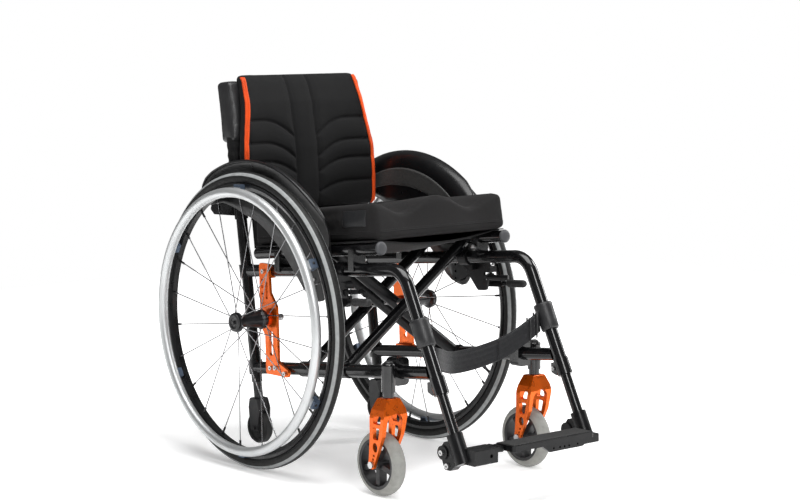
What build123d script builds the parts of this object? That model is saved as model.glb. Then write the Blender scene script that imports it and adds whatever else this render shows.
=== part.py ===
"""Folding active wheelchair, in millimetres: +X forward, +Y to the sitter's left, +Z up, floor at Z = 0.

Every left-hand piece is built at positive Y and mirrored across the centre plane for the right-hand side.
The two side frames are joined by a scissor of two double braces, whose hinge axes all run along the lower tubes.
"""

from build123d import *
import os
from math import cos, hypot, radians, sin

os.makedirs("parts", exist_ok=True)

# Driving dimensions of the whole chair
AXLE_X = -157.5  # rear axle, behind the middle of the chair
WHEEL_RADIUS = 295.0  # 24 inch wheel with a 25 mm tyre
WHEEL_Y = 221.0  # centre plane of a rear wheel
FRAME_Y = 158.0  # centre plane of a side frame
TUBE_RADIUS = 12.5
POST_RADIUS = 11.0
POST_BORE = 9.1
RUNNING_GAP = 0.05  # radial clearance of a turning fit
SEAT_GAP = 0.05  # gap between two pieces that rest against each other

# Lines of the side frame, as a height at the rear axle and a rise per millimetre forward
UPPER_Z, UPPER_RISE = 389.5, 0.0882
LOWER_Z, LOWER_RISE = 193.2, 0.1013
POST_FOOT_X, POST_FOOT_Z, POST_RISE = -63.0, 165.0, -0.134
LEG_TOP_X, LEG_TOP_Z, LEG_RUN = 431.0, 352.0, 0.482
RAIL_FRONT_X, RAIL_FRONT_Z, RAIL_RADIUS = 332.0, 459.0, 12.0
RAIL_REAR_X = -50.0

# Casters
STEM_X, CASTER_Y = 386.0, 187.0
CASTER_RADIUS, CASTER_TRAIL = 61.5, 23.0
FORK_TOP_Z = 188.0

# Scissor braces: stations along the lower tube of each brace's two tubes
BRACE_A_X, BRACE_A_RADIUS = (107.0, 222.0), 11.0
BRACE_B_X, BRACE_B_RADIUS = (143.0, 187.0), 12.0
SLEEVE_RADIUS = 15.5
PIVOT_BOLT_RADIUS = 4.0


def at(x, y, z):
    """A point given by its distance ahead of the rear axle."""
    return (AXLE_X + x, y, z)


def upper_z(x):
    return UPPER_Z + UPPER_RISE * x


def lower_z(x):
    return LOWER_Z + LOWER_RISE * x


def rail_z(x):
    return RAIL_FRONT_Z + LOWER_RISE * (x - RAIL_FRONT_X)


def post_x(z):
    return POST_FOOT_X + POST_RISE * (z - POST_FOOT_Z)


def leg_x(z):
    return LEG_TOP_X + LEG_RUN * (LEG_TOP_Z - z)


def rod(start, end, radius, mode=Mode.ADD):
    """A straight round bar between two points."""
    along = Vector(*end) - Vector(*start)
    with BuildSketch(Plane(origin=start, z_dir=along)) as section:
        Circle(radius)
    extrude(section.sketch, amount=along.length, mode=mode)


def turn(outline, centre, mode=Mode.ADD):
    """A solid of revolution about a wheel's axle, from (across, radius) corners."""
    with BuildSketch(Plane(origin=centre, x_dir=(0, 1, 0), z_dir=(1, 0, 0))) as section:
        with BuildLine():
            Polyline(*outline, close=True)
        make_face()
    revolve(section.sketch, axis=Axis(centre, (0, 1, 0)), mode=mode)


def side_plane(y):
    """The plane of a side view at this Y: x ahead of the rear axle, y up, extruding towards the centre."""
    return Plane(origin=at(0, y, 0), x_dir=(1, 0, 0), z_dir=(0, -1, 0))


def side_plate(outline, y_inner, y_outer, rounding=0.0, mode=Mode.ADD):
    """A flat plate from its side view's corners, between two Y planes."""
    with BuildSketch(side_plane(y_outer)) as section:
        with BuildLine():
            Polyline(*outline, close=True)
        make_face()
        if rounding:
            fillet(vertices(), radius=rounding)
    extrude(section.sketch, amount=y_outer - y_inner, mode=mode)


def cross_hole(x, z, radius, y_inner, y_outer):
    """A round hole along Y."""
    rod(at(x, y_inner, z), at(x, y_outer, z), radius, mode=Mode.SUBTRACT)


def socket_bolt(x, y, z, way, radius=4.5, height=4.0):
    """A cap bolt's head along Y, standing on the plane at y and pointing the given way."""
    rod(at(x, y, z), at(x, y + way * height, z), radius)
    rod(at(x, y + way * height / 2, z), at(x, y + way * height, z), radius / 2, mode=Mode.SUBTRACT)


def write(builder, name):
    builder.part.label = name
    export_step(builder.part, f"parts/{name}.step")


def write_pair(builder, name):
    """Write a left-hand piece, and its mirror image for the right-hand side."""
    write(builder, f"{name}_left")
    with BuildPart() as mirrored:
        mirror(builder.part, about=Plane.XZ)
    write(mirrored, f"{name}_right")


# ---------------------------------------------------------------- side frame

UPPER_START_X = -76.0
LEG_END_Z = 205.0
CORNER_X = (LEG_TOP_X + LEG_RUN * (LEG_TOP_Z - UPPER_Z)) / (1 + LEG_RUN * UPPER_RISE)
BEND_RADIUS = 48.0
WALL = 2.0
SADDLE_X = (30.0, 262.0)
SADDLE_LENGTH, SADDLE_WIDTH = 16.0, 30.0
POST_CLAMP_RADIUS = 14.5
SLEEVE_Z, LEG_SLEEVE_RADIUS = (290.0, 333.0), 16.5


def tube_path():
    with BuildLine() as path:
        FilletPolyline(
            at(UPPER_START_X, FRAME_Y, upper_z(UPPER_START_X)),
            at(CORNER_X, FRAME_Y, upper_z(CORNER_X)),
            at(leg_x(LEG_END_Z), FRAME_Y, LEG_END_Z),
            radius=BEND_RADIUS,
        )
    return path.line


def post_clamp(z_low, z_high):
    """A ring around the rear post, with the post's own hole left free."""
    low = at(post_x(z_low), FRAME_Y, z_low)
    high = at(post_x(z_high), FRAME_Y, z_high)
    rod(low, high, POST_CLAMP_RADIUS)
    below = at(post_x(z_low - 20), FRAME_Y, z_low - 20)
    above = at(post_x(z_high + 20), FRAME_Y, z_high + 20)
    rod(below, above, POST_RADIUS + SEAT_GAP, mode=Mode.SUBTRACT)


def rail_saddle(x):
    """An open cradle on the upper tube that the seat rail drops into."""
    low, high = upper_z(x), rail_z(x)
    rear = Plane(origin=at(x - SADDLE_LENGTH / 2, FRAME_Y, 0), x_dir=(0, 1, 0), z_dir=(1, 0, 0))
    with BuildSketch(rear) as section:
        with Locations((0, (low + high) / 2)):
            Rectangle(SADDLE_WIDTH, high - low + 2)
    extrude(section.sketch, amount=SADDLE_LENGTH)
    reach = SADDLE_LENGTH / 2 + 10
    rod(
        at(x - reach, FRAME_Y, rail_z(x - reach)),
        at(x + reach, FRAME_Y, rail_z(x + reach)),
        RAIL_RADIUS + 0.5,
        mode=Mode.SUBTRACT,
    )


path = tube_path()
with BuildPart() as side_tube:
    for x in SADDLE_X:
        rail_saddle(x)
    with BuildSketch(Plane(origin=path @ 0, z_dir=path % 0)):
        Circle(TUBE_RADIUS)
    sweep(path=path)
    z_clamp = upper_z(-90)
    post_clamp(z_clamp - 13, z_clamp + 13)
    rod(at(leg_x(SLEEVE_Z[0]), FRAME_Y, SLEEVE_Z[0]), at(leg_x(SLEEVE_Z[1]), FRAME_Y, SLEEVE_Z[1]), LEG_SLEEVE_RADIUS)
    # telescope collar at the foot of the leg, with its pinch block behind
    low = at(leg_x(LEG_END_Z), FRAME_Y, LEG_END_Z)
    high = at(leg_x(LEG_END_Z + 30), FRAME_Y, LEG_END_Z + 30)
    rod(low, high, TUBE_RADIUS + 2)
    block_x = leg_x(LEG_END_Z + 8) - 20
    side_plate(
        [
            (block_x - 7, LEG_END_Z + 2),
            (block_x + 9, LEG_END_Z - 4),
            (block_x + 8, LEG_END_Z + 24),
            (block_x - 8, LEG_END_Z + 20),
        ],
        FRAME_Y - 8,
        FRAME_Y + 8,
        rounding=2,
    )
    with BuildSketch(Plane(origin=path @ 0, z_dir=path % 0)):
        Circle(TUBE_RADIUS - WALL)
    sweep(path=path, mode=Mode.SUBTRACT)
write_pair(side_tube, "side_tube")

with BuildPart() as lower_tube:
    start, end = -60.0, 474.0
    rod(at(start, FRAME_Y, lower_z(start)), at(end, FRAME_Y, lower_z(end)), TUBE_RADIUS)
    post_clamp(174, 202)
    rod(at(-44, FRAME_Y, lower_z(-44)), at(end + 5, FRAME_Y, lower_z(end + 5)), TUBE_RADIUS - WALL, mode=Mode.SUBTRACT)
    rod(
        at(leg_x(300), FRAME_Y, 300),
        at(leg_x(150), FRAME_Y, 150),
        TUBE_RADIUS + 2 + SEAT_GAP,
        mode=Mode.SUBTRACT,
    )
write_pair(lower_tube, "lower_tube")

POST_TOP_Z = 738.0
with BuildPart() as back_post:
    rod(at(post_x(158), FRAME_Y, 158), at(post_x(POST_TOP_Z), FRAME_Y, POST_TOP_Z), POST_RADIUS)
    rod(at(post_x(150), FRAME_Y, 150), at(post_x(POST_TOP_Z - 6), FRAME_Y, POST_TOP_Z - 6), POST_BORE, mode=Mode.SUBTRACT)
    # spur behind the post at seat height
    spur_plane = side_plane(FRAME_Y + 4)
    with BuildSketch(spur_plane) as spur:
        with BuildLine():
            Polyline((-209, 500), (-202, 518), (-118, 520), (-114, 492), (-196, 490), close=True)
        make_face()
        fillet(vertices(), radius=3)
    extrude(amount=8)
    rod(at(post_x(486), FRAME_Y, 486), at(post_x(525), FRAME_Y, 525), POST_RADIUS + 2.5)
    rod(at(post_x(470), FRAME_Y, 470), at(post_x(540), FRAME_Y, 540), POST_BORE, mode=Mode.SUBTRACT)
    side_plate([(-184, 500), (-174, 500), (-174, 509), (-184, 509)], FRAME_Y - 6, FRAME_Y + 6, mode=Mode.SUBTRACT)
write_pair(back_post, "back_post")

# ---------------------------------------------------------------- rear wheel carrier

PLATE_IN_Y, PLATE_OUT_Y = 172.0, 178.0
AXLE_RADIUS = 6.35
AXLE_BORE = AXLE_RADIUS + RUNNING_GAP

with BuildPart() as axle_plate:
    side_plate(
        [
            (-22, 405),
            (8, 405),
            (12, 348),
            (32, 322),
            (36, 210),
            (68, 198),
            (68, 184),
            (-4, 184),
            (-6, 262),
            (-22, 280),
        ],
        PLATE_IN_Y,
        PLATE_OUT_Y,
        rounding=5,
    )
    side_plate([(-20, 376), (6, 376), (6, 402), (-20, 402)], FRAME_Y, PLATE_IN_Y)
    side_plate([(0, 185), (34, 185), (34, 209), (0, 209)], FRAME_Y, PLATE_IN_Y)
    for tube_z in (upper_z, lower_z):
        rod(
            at(-60, FRAME_Y, tube_z(-60)),
            at(90, FRAME_Y, tube_z(90)),
            TUBE_RADIUS + SEAT_GAP,
            mode=Mode.SUBTRACT,
        )
    rod(at(0, 161, WHEEL_RADIUS), at(0, 182, WHEEL_RADIUS), 14)
    cross_hole(0, WHEEL_RADIUS, AXLE_BORE, 150, 190)
    side_plate([(-2, 334), (5, 334), (5, 370), (-2, 370)], PLATE_IN_Y, PLATE_OUT_Y, 3.4, Mode.SUBTRACT)
    side_plate([(8, 222), (20, 222), (20, 272), (8, 272)], PLATE_IN_Y, PLATE_OUT_Y, 5.9, Mode.SUBTRACT)
    for z in (345, 358, 371):
        cross_hole(-13, z, 3.2, PLATE_IN_Y, PLATE_OUT_Y)
write_pair(axle_plate, "axle_plate")

AXLE_TIP_Y, AXLE_HEAD_Y = 140.0, WHEEL_Y + 37
BUTTON_RADIUS = 4.0
with BuildPart() as release_axle:
    rod(at(0, AXLE_TIP_Y, WHEEL_RADIUS), at(0, AXLE_HEAD_Y - 2, WHEEL_RADIUS), AXLE_RADIUS)
    rod(at(0, AXLE_HEAD_Y - 2.6, WHEEL_RADIUS), at(0, AXLE_HEAD_Y, WHEEL_RADIUS), 9)
    cross_hole(0, WHEEL_RADIUS, BUTTON_RADIUS + RUNNING_GAP, AXLE_HEAD_Y - 23, AXLE_HEAD_Y)
    with BuildSketch(Plane(origin=at(0, 147, WHEEL_RADIUS), x_dir=(1, 0, 0), z_dir=(0, 1, 0))):
        Circle(AXLE_RADIUS + 1)
        Circle(AXLE_RADIUS - 0.8, mode=Mode.SUBTRACT)
    extrude(amount=1.5, mode=Mode.SUBTRACT)
write_pair(release_axle, "release_axle")

with BuildPart() as release_button:
    rod(at(0, AXLE_HEAD_Y - 18, WHEEL_RADIUS), at(0, AXLE_HEAD_Y + 4, WHEEL_RADIUS), BUTTON_RADIUS)
    chamfer(release_button.edges().group_by(Axis.Y)[-1], length=0.8)
write_pair(release_button, "release_button")

# ---------------------------------------------------------------- rear wheel

WHEEL_CENTRE = at(0, WHEEL_Y, WHEEL_RADIUS)
TYRE_SECTION = 12.5
HOOK_RADIUS = 273.0
RIM_INNER_RADIUS = 259.0
HUB_HALF = 34.0

with BuildPart() as rear_tyre:
    with BuildSketch(Plane(origin=WHEEL_CENTRE, x_dir=(0, 1, 0), z_dir=(1, 0, 0))):
        with Locations((0, WHEEL_RADIUS - TYRE_SECTION)):
            Circle(TYRE_SECTION)
        with Locations((0, HOOK_RADIUS - 1.5)):
            Rectangle(17.8, 8)
    revolve(axis=Axis(WHEEL_CENTRE, (0, 1, 0)))
write_pair(rear_tyre, "rear_tyre")

with BuildPart() as rear_rim:
    turn(
        [
            (-11, HOOK_RADIUS),
            (-11, 267),
            (-6, RIM_INNER_RADIUS),
            (6, RIM_INNER_RADIUS),
            (11, 267),
            (11, HOOK_RADIUS),
            (9, HOOK_RADIUS),
            (9, 267.5),
            (5, RIM_INNER_RADIUS + 2.5),
            (-5, RIM_INNER_RADIUS + 2.5),
            (-9, 267.5),
            (-9, HOOK_RADIUS),
        ],
        WHEEL_CENTRE,
    )
write_pair(rear_rim, "rear_rim")

with BuildPart() as rear_hub:
    turn(
        [
            (-HUB_HALF, AXLE_BORE),
            (-HUB_HALF, 15),
            (-33, 19.5),
            (-27, 19.5),
            (-22, 16.5),
            (14, 11.5),
            (24, 12.5),
            (27, 19.5),
            (32, 19.5),
            (HUB_HALF, 15),
            (HUB_HALF, AXLE_BORE),
        ],
        WHEEL_CENTRE,
    )
write_pair(rear_hub, "rear_hub")

SPOKES_PER_FLANGE = 12
SPOKE_RADIUS, NIPPLE_RADIUS = 1.0, 2.2
FLANGE_RADIUS, FLANGE_Y = 16.5, 30.0
SPOKE_SWING = 26.0  # degrees between a spoke's flange end and its rim end


def polar(radius, angle, across):
    """A point of the rear wheel by radius, angle from straight up, and distance outboard of its centre plane."""
    turned = radians(angle)
    return at(radius * sin(turned), WHEEL_Y + across, WHEEL_RADIUS + radius * cos(turned))


with BuildPart() as rear_spokes:
    for flange in (-1, 1):
        for number in range(SPOKES_PER_FLANGE):
            step = 360 / SPOKES_PER_FLANGE
            rim_angle = number * step + (7.5 if flange > 0 else 22.5)
            swing = SPOKE_SWING if number % 2 else -SPOKE_SWING
            inner = polar(FLANGE_RADIUS, rim_angle + swing, flange * FLANGE_Y)
            outer = polar(RIM_INNER_RADIUS + 2, rim_angle, flange * 2)
            rod(inner, outer, SPOKE_RADIUS)
            back = Vector(*inner) - Vector(*outer)
            rod(outer, tuple(Vector(*outer) + back.normalized() * 15), NIPPLE_RADIUS)
write_pair(rear_spokes, "rear_spokes")

HANDRIM_RADIUS, HANDRIM_TUBE = 255.8, 9.5
HANDRIM_ACROSS = 31.8
with BuildPart() as handrim:
    with BuildSketch(Plane(origin=WHEEL_CENTRE, x_dir=(0, 1, 0), z_dir=(1, 0, 0))):
        with Locations((HANDRIM_ACROSS, HANDRIM_RADIUS)):
            Circle(HANDRIM_TUBE)
    revolve(axis=Axis(WHEEL_CENTRE, (0, 1, 0)))
    tab_plane = Plane(origin=at(0, WHEEL_Y + 11 + SEAT_GAP, WHEEL_RADIUS), x_dir=(1, 0, 0), z_dir=(0, 1, 0))
    with BuildSketch(tab_plane):
        with PolarLocations(HANDRIM_RADIUS + 6.5, 6, start_angle=90):
            Rectangle(17, 18)
    extrude(amount=14)
write_pair(handrim, "handrim")

# ---------------------------------------------------------------- caster

HOUSING_RADIUS, HOUSING_NECK = 13.0, 10.5
HOUSING_LOW_Z, HOUSING_TOP_Z = 199.0, 253.0
STEM_RADIUS = 8.0
CASTER_AXLE_X = STEM_X - CASTER_TRAIL
CASTER_CENTRE = at(CASTER_AXLE_X, CASTER_Y, CASTER_RADIUS)
CASTER_BOLT = 4.0

with BuildPart() as caster_housing:
    # barrel with a narrower neck, and a block that clamps it to the lower tube
    rod(at(STEM_X, CASTER_Y, HOUSING_LOW_Z), at(STEM_X, CASTER_Y, HOUSING_TOP_Z), HOUSING_RADIUS)
    fillet(caster_housing.edges().group_by(Axis.Z)[-1], radius=5)
    rod(at(STEM_X, CASTER_Y, FORK_TOP_Z + 1), at(STEM_X, CASTER_Y, HOUSING_LOW_Z), HOUSING_NECK)
    block_rear, block_front = STEM_X - 20, STEM_X + 4
    with BuildSketch(Plane(origin=at(block_rear, FRAME_Y, 0), x_dir=(0, 1, 0), z_dir=(1, 0, 0))):
        with Locations((0, 234)):
            RectangleRounded(36, 52, 9)
    extrude(amount=block_front - block_rear)
    rod(
        at(block_rear - 20, FRAME_Y, lower_z(block_rear - 20)),
        at(block_front + 20, FRAME_Y, lower_z(block_front + 20)),
        TUBE_RADIUS + SEAT_GAP,
        mode=Mode.SUBTRACT,
    )
    rod(
        at(STEM_X, CASTER_Y, FORK_TOP_Z - 1),
        at(STEM_X, CASTER_Y, 245),
        STEM_RADIUS + RUNNING_GAP,
        mode=Mode.SUBTRACT,
    )
write_pair(caster_housing, "caster_housing")

ARM_GAP, FORK_TIP_HALF = 18.5, 24.0  # half the space between the fork's arms, and half its width at the axle
with BuildPart() as caster_fork:
    # front view: crown, shoulders and two arms around an arch
    with BuildSketch(Plane(origin=at(STEM_X - 50, CASTER_Y, 0), x_dir=(0, 1, 0), z_dir=(1, 0, 0))):
        with BuildLine():
            Polyline(
                (-15, FORK_TOP_Z),
                (15, FORK_TOP_Z),
                (26, 168),
                (29, 152),
                (FORK_TIP_HALF, 75),
                (FORK_TIP_HALF, 50),
                (-FORK_TIP_HALF, 50),
                (-FORK_TIP_HALF, 75),
                (-29, 152),
                (-26, 168),
                close=True,
            )
        make_face()
        with Locations((0, 142)):
            Circle(ARM_GAP, mode=Mode.SUBTRACT)
        with Locations((0, 92)):
            Rectangle(2 * ARM_GAP, 100, mode=Mode.SUBTRACT)
    extrude(amount=90)
    # side view: the arms rake back to the axle and taper
    with BuildSketch(side_plane(CASTER_Y + 40)):
        with BuildLine():
            Polyline(
                (STEM_X - 14, FORK_TOP_Z),
                (STEM_X + 14, FORK_TOP_Z),
                (STEM_X + 20, 158),
                (STEM_X + 12, 118),
                (CASTER_AXLE_X + 9, 64),
                (CASTER_AXLE_X + 6, 54),
                (CASTER_AXLE_X - 6, 54),
                (CASTER_AXLE_X - 9, 64),
                (STEM_X - 24, 118),
                (STEM_X - 21, 158),
                close=True,
            )
        make_face()
        fillet(vertices(), radius=3)
    extrude(amount=80, mode=Mode.INTERSECT)
    for window in (
        [(376, 157), (398, 157), (394, 141), (374, 141)],
        [(372, 134), (392, 134), (386, 111), (371, 111)],
    ):
        side_plate(window, CASTER_Y - 40, CASTER_Y + 40, 3, Mode.SUBTRACT)
    with BuildSketch(side_plane(CASTER_Y + 40)):
        with Locations((STEM_X - 10.5, 96)):
            Ellipse(6.5, 9)
        for z in (80, 72.5):
            with Locations((CASTER_AXLE_X + (z - 62) * 0.42, z)):
                Circle(2.6)
    extrude(amount=80, mode=Mode.SUBTRACT)
    cross_hole(CASTER_AXLE_X, CASTER_RADIUS, CASTER_BOLT + SEAT_GAP, CASTER_Y - 40, CASTER_Y + 40)
    rod(at(STEM_X, CASTER_Y, FORK_TOP_Z - 3), at(STEM_X, CASTER_Y, 243), STEM_RADIUS)
write_pair(caster_fork, "caster_fork")

CASTER_RIM = 48.0
CASTER_HALF, CASTER_SECTION = 15.2, 13.5
with BuildPart() as caster_tyre:
    with BuildSketch(Plane(origin=CASTER_CENTRE, x_dir=(0, 1, 0), z_dir=(1, 0, 0))):
        with Locations((0, CASTER_RADIUS - CASTER_SECTION)):
            Ellipse(CASTER_HALF, CASTER_SECTION)
        with Locations((0, CASTER_RIM + SEAT_GAP - 15)):
            Rectangle(2 * CASTER_HALF, 30, mode=Mode.SUBTRACT)
    revolve(axis=Axis(CASTER_CENTRE, (0, 1, 0)))
write_pair(caster_tyre, "caster_tyre")

with BuildPart() as caster_hub:
    turn([(-14, 42), (-14, CASTER_RIM), (14, CASTER_RIM), (14, 42)], CASTER_CENTRE)
    turn([(-15, CASTER_BOLT), (-15, 11), (15, 11), (15, CASTER_BOLT)], CASTER_CENTRE)
    hub_plane = Plane(origin=at(CASTER_AXLE_X, CASTER_Y - 9, CASTER_RADIUS), x_dir=(1, 0, 0), z_dir=(0, 1, 0))
    with BuildSketch(hub_plane):
        with PolarLocations(26, 5, start_angle=90):
            Rectangle(34, 10)
    extrude(amount=18)
    cross_hole(CASTER_AXLE_X, CASTER_RADIUS, CASTER_BOLT + RUNNING_GAP, CASTER_Y - 20, CASTER_Y + 20)
write_pair(caster_hub, "caster_hub")

with BuildPart() as caster_axle:
    rod(
        at(CASTER_AXLE_X, CASTER_Y - 27, CASTER_RADIUS),
        at(CASTER_AXLE_X, CASTER_Y + 27, CASTER_RADIUS),
        CASTER_BOLT,
    )
    for way in (-1, 1):
        face = CASTER_Y + way * (FORK_TIP_HALF + SEAT_GAP)
        rod(at(CASTER_AXLE_X, face, CASTER_RADIUS), at(CASTER_AXLE_X, face + way * 4, CASTER_RADIUS), 6.5)
        inner = CASTER_Y + way * 15.2
        rod(
            at(CASTER_AXLE_X, inner, CASTER_RADIUS),
            at(CASTER_AXLE_X, CASTER_Y + way * (ARM_GAP - 0.1), CASTER_RADIUS),
            7,
        )
write_pair(caster_axle, "caster_axle")

# ---------------------------------------------------------------- folding scissor and seat rails

HINGE_LINE = Vector(1, 0, LOWER_RISE)


def along_line(x, y, height):
    """A point beside a hinge line: x along the lower tube, y across, height above the tube's axis."""
    return at(x, y, lower_z(x) + height)


RAIL_HEIGHT = rail_z(0) - lower_z(0)  # rails run parallel to the lower tubes


def brace(stations, radius, low_side):
    """Two tubes from a hinge sleeve on one lower tube up to the seat rail on the other side."""
    first, last = stations[0] - 15, stations[1] + 15
    low_y, high_y = low_side * FRAME_Y, -low_side * FRAME_Y
    rod(along_line(first, low_y, 0), along_line(last, low_y, 0), SLEEVE_RADIUS)
    for x in stations:
        rod(along_line(x, low_y, 0), along_line(x, high_y, RAIL_HEIGHT), radius)
    for height, y, bore in (
        (0, low_y, TUBE_RADIUS + RUNNING_GAP),
        (RAIL_HEIGHT, high_y, RAIL_RADIUS + SEAT_GAP),
        (RAIL_HEIGHT / 2, 0, PIVOT_BOLT_RADIUS + RUNNING_GAP),
    ):
        rod(along_line(first - 30, y, height), along_line(last + 30, y, height), bore, mode=Mode.SUBTRACT)


with BuildPart() as brace_a:
    brace(BRACE_A_X, BRACE_A_RADIUS, -1)
write(brace_a, "brace_a")

with BuildPart() as brace_b:
    brace(BRACE_B_X, BRACE_B_RADIUS, 1)
write(brace_b, "brace_b")

with BuildPart() as brace_bolt:
    middle = RAIL_HEIGHT / 2
    bolt_ends = (BRACE_A_X[0] - BRACE_A_RADIUS - 1, BRACE_A_X[1] + BRACE_A_RADIUS + 1)
    rod(along_line(bolt_ends[0] - 3, 0, middle), along_line(bolt_ends[1] + 3, 0, middle), PIVOT_BOLT_RADIUS)
    for x, way in zip(bolt_ends, (-1, 1)):
        rod(along_line(x, 0, middle), along_line(x + way * 5, 0, middle), 7)
    for x, length in ((BRACE_A_X[0] + BRACE_A_RADIUS + 1, 9), (BRACE_B_X[1] + BRACE_B_RADIUS + 1.5, 8)):
        rod(along_line(x, 0, middle), along_line(x + length, 0, middle), 8)
write(brace_bolt, "brace_bolt")

with BuildPart() as seat_rail:
    rod(at(RAIL_REAR_X, FRAME_Y, rail_z(RAIL_REAR_X)), at(RAIL_FRONT_X, FRAME_Y, RAIL_FRONT_Z), RAIL_RADIUS)
    rod(
        at(RAIL_REAR_X + 4, FRAME_Y, rail_z(RAIL_REAR_X + 4)),
        at(RAIL_FRONT_X - 4, FRAME_Y, rail_z(RAIL_FRONT_X - 4)),
        RAIL_RADIUS - WALL,
        mode=Mode.SUBTRACT,
    )
write_pair(seat_rail, "seat_rail")

# ---------------------------------------------------------------- soft pieces

SLING_LIFT, SLING_THICKNESS, SLING_SAG = 0.5, 2.5, 30.0
SLING_FLAT_Y, SLING_EDGE_Y = 146.0, 168.0
SEAT_REAR_X, SEAT_FRONT_X = -56.0, 335.0
CUSHION_HALF, CUSHION_THICKNESS = 169.0, 68.0


def across_plane(x, z):
    """The plane of a front view, square to the seat rails."""
    return Plane(origin=at(x, 0, z), x_dir=(0, 1, 0), z_dir=HINGE_LINE)


with BuildPart() as seat_sling:
    sling_rear, sling_front = -45.0, 320.0
    with BuildSketch(across_plane(sling_rear, rail_z(sling_rear) + RAIL_RADIUS + SLING_LIFT)):
        with BuildLine():
            Line((-SLING_EDGE_Y, 0), (-SLING_FLAT_Y, 0))
            ThreePointArc((-SLING_FLAT_Y, 0), (0, -SLING_SAG), (SLING_FLAT_Y, 0))
            Line((SLING_FLAT_Y, 0), (SLING_EDGE_Y, 0))
            Line((SLING_EDGE_Y, 0), (SLING_EDGE_Y, SLING_THICKNESS))
            Line((SLING_EDGE_Y, SLING_THICKNESS), (SLING_FLAT_Y, SLING_THICKNESS))
            ThreePointArc(
                (SLING_FLAT_Y, SLING_THICKNESS),
                (0, SLING_THICKNESS - SLING_SAG),
                (-SLING_FLAT_Y, SLING_THICKNESS),
            )
            Line((-SLING_FLAT_Y, SLING_THICKNESS), (-SLING_EDGE_Y, SLING_THICKNESS))
            Line((-SLING_EDGE_Y, SLING_THICKNESS), (-SLING_EDGE_Y, 0))
        make_face()
    extrude(amount=(sling_front - sling_rear) * hypot(1, LOWER_RISE))
write(seat_sling, "seat_sling")

with BuildPart() as cushion:
    base = RAIL_RADIUS + SLING_LIFT + SLING_THICKNESS + 1
    with BuildSketch(side_plane(CUSHION_HALF)):
        with BuildLine():
            Polyline(
                (SEAT_REAR_X, rail_z(SEAT_REAR_X) + base),
                (SEAT_FRONT_X, rail_z(SEAT_FRONT_X) + base),
                (SEAT_FRONT_X, rail_z(SEAT_FRONT_X) + base + CUSHION_THICKNESS),
                (SEAT_REAR_X, rail_z(SEAT_REAR_X) + base + CUSHION_THICKNESS),
                close=True,
            )
        make_face()
        fillet(vertices(), radius=12)
    extrude(amount=2 * CUSHION_HALF)
    fillet(cushion.edges().filter_by(Axis.Y, reverse=True).group_by(Axis.Y)[0], radius=9)
    fillet(cushion.edges().filter_by(Axis.Y, reverse=True).group_by(Axis.Y)[-1], radius=9)
write(cushion, "cushion")

BACK_LOW_Z, BACK_PAD_Z, BACK_TOP_Z = 424.0, 496.0, 775.0
BACK_HALF_LOW, BACK_HALF_TOP = 174.0, 151.0
WING_LOW_Z, WING_TOP_Z = 638.0, 764.0
with BuildPart() as back_upholstery:
    # padded front, narrowing to rounded top corners, ahead of the posts
    with BuildSketch(side_plane(BACK_HALF_LOW)):
        with BuildLine():
            Spline(
                (-72, BACK_PAD_Z),
                (-71, 560),
                (-75, 627),
                (-82, 667),
                (-92, 720),
                (-113, BACK_TOP_Z - 4),
            )
            Line((-113, BACK_TOP_Z - 4), (-122, BACK_TOP_Z))
            Line((-122, BACK_TOP_Z), (-146, BACK_TOP_Z - 2))
            Polyline(
                (-146, BACK_TOP_Z - 2),
                (post_x(742) + 13, 742),
                (post_x(BACK_PAD_Z) + 13, BACK_PAD_Z),
                (-72, BACK_PAD_Z),
            )
        make_face()
    extrude(amount=2 * BACK_HALF_LOW)
    with BuildSketch(Plane(origin=at(-300, 0, 0), x_dir=(0, 1, 0), z_dir=(1, 0, 0))):
        with BuildLine():
            Polyline(
                (-BACK_HALF_LOW, BACK_PAD_Z - 10),
                (BACK_HALF_LOW, BACK_PAD_Z - 10),
                (BACK_HALF_LOW, 620),
                (BACK_HALF_TOP + 6, 700),
                (BACK_HALF_TOP, BACK_TOP_Z + 1),
                (-BACK_HALF_TOP, BACK_TOP_Z + 1),
                (-BACK_HALF_TOP - 6, 700),
                (-BACK_HALF_LOW, 620),
                close=True,
            )
        make_face()
    extrude(amount=400, mode=Mode.INTERSECT)
    # wings that wrap the posts, sleeves below them, and the flap that hangs behind the cushion
    for side in (-1, 1):
        rod(at(post_x(530), side * FRAME_Y, 530), at(post_x(700), side * FRAME_Y, 700), 15)
        side_plate(
            [
                (post_x(WING_LOW_Z) - 29, WING_LOW_Z + 8),
                (post_x(WING_LOW_Z) + 16, WING_LOW_Z),
                (post_x(WING_TOP_Z) + 16, WING_TOP_Z),
                (post_x(WING_TOP_Z) - 28, WING_TOP_Z - 4),
            ],
            min(side * 132, side * 172),
            max(side * 132, side * 172),
            rounding=6,
        )
    flap_plane = Plane(origin=at(post_x(BACK_LOW_Z) + 14, 0, BACK_LOW_Z), x_dir=(0, 1, 0), z_dir=(POST_RISE, 0, 1))
    with BuildSketch(flap_plane):
        with Locations((0, 0)):
            Rectangle(284, 4)
    extrude(amount=150)
    for side in (-1, 1):
        rod(
            at(post_x(400), side * FRAME_Y, 400),
            at(post_x(740), side * FRAME_Y, 740),
            POST_RADIUS + 0.4,
            mode=Mode.SUBTRACT,
        )
        rod(
            at(post_x(480), side * FRAME_Y, 480),
            at(post_x(528), side * FRAME_Y, 528),
            POST_RADIUS + 3,
            mode=Mode.SUBTRACT,
        )
write(back_upholstery, "back_upholstery")

STRAP_RIGHT = Vector(*at(472, -142.0, 265))
STRAP_MIDDLE = Vector(*at(430, 5, 257))
STRAP_LEFT = Vector(*at(447, 137.5, 303))
STRAP_HEIGHT, STRAP_THICKNESS = 42.0, 2.5
STRAP_UP = (STRAP_LEFT - STRAP_RIGHT).cross(STRAP_MIDDLE - STRAP_RIGHT)

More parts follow.
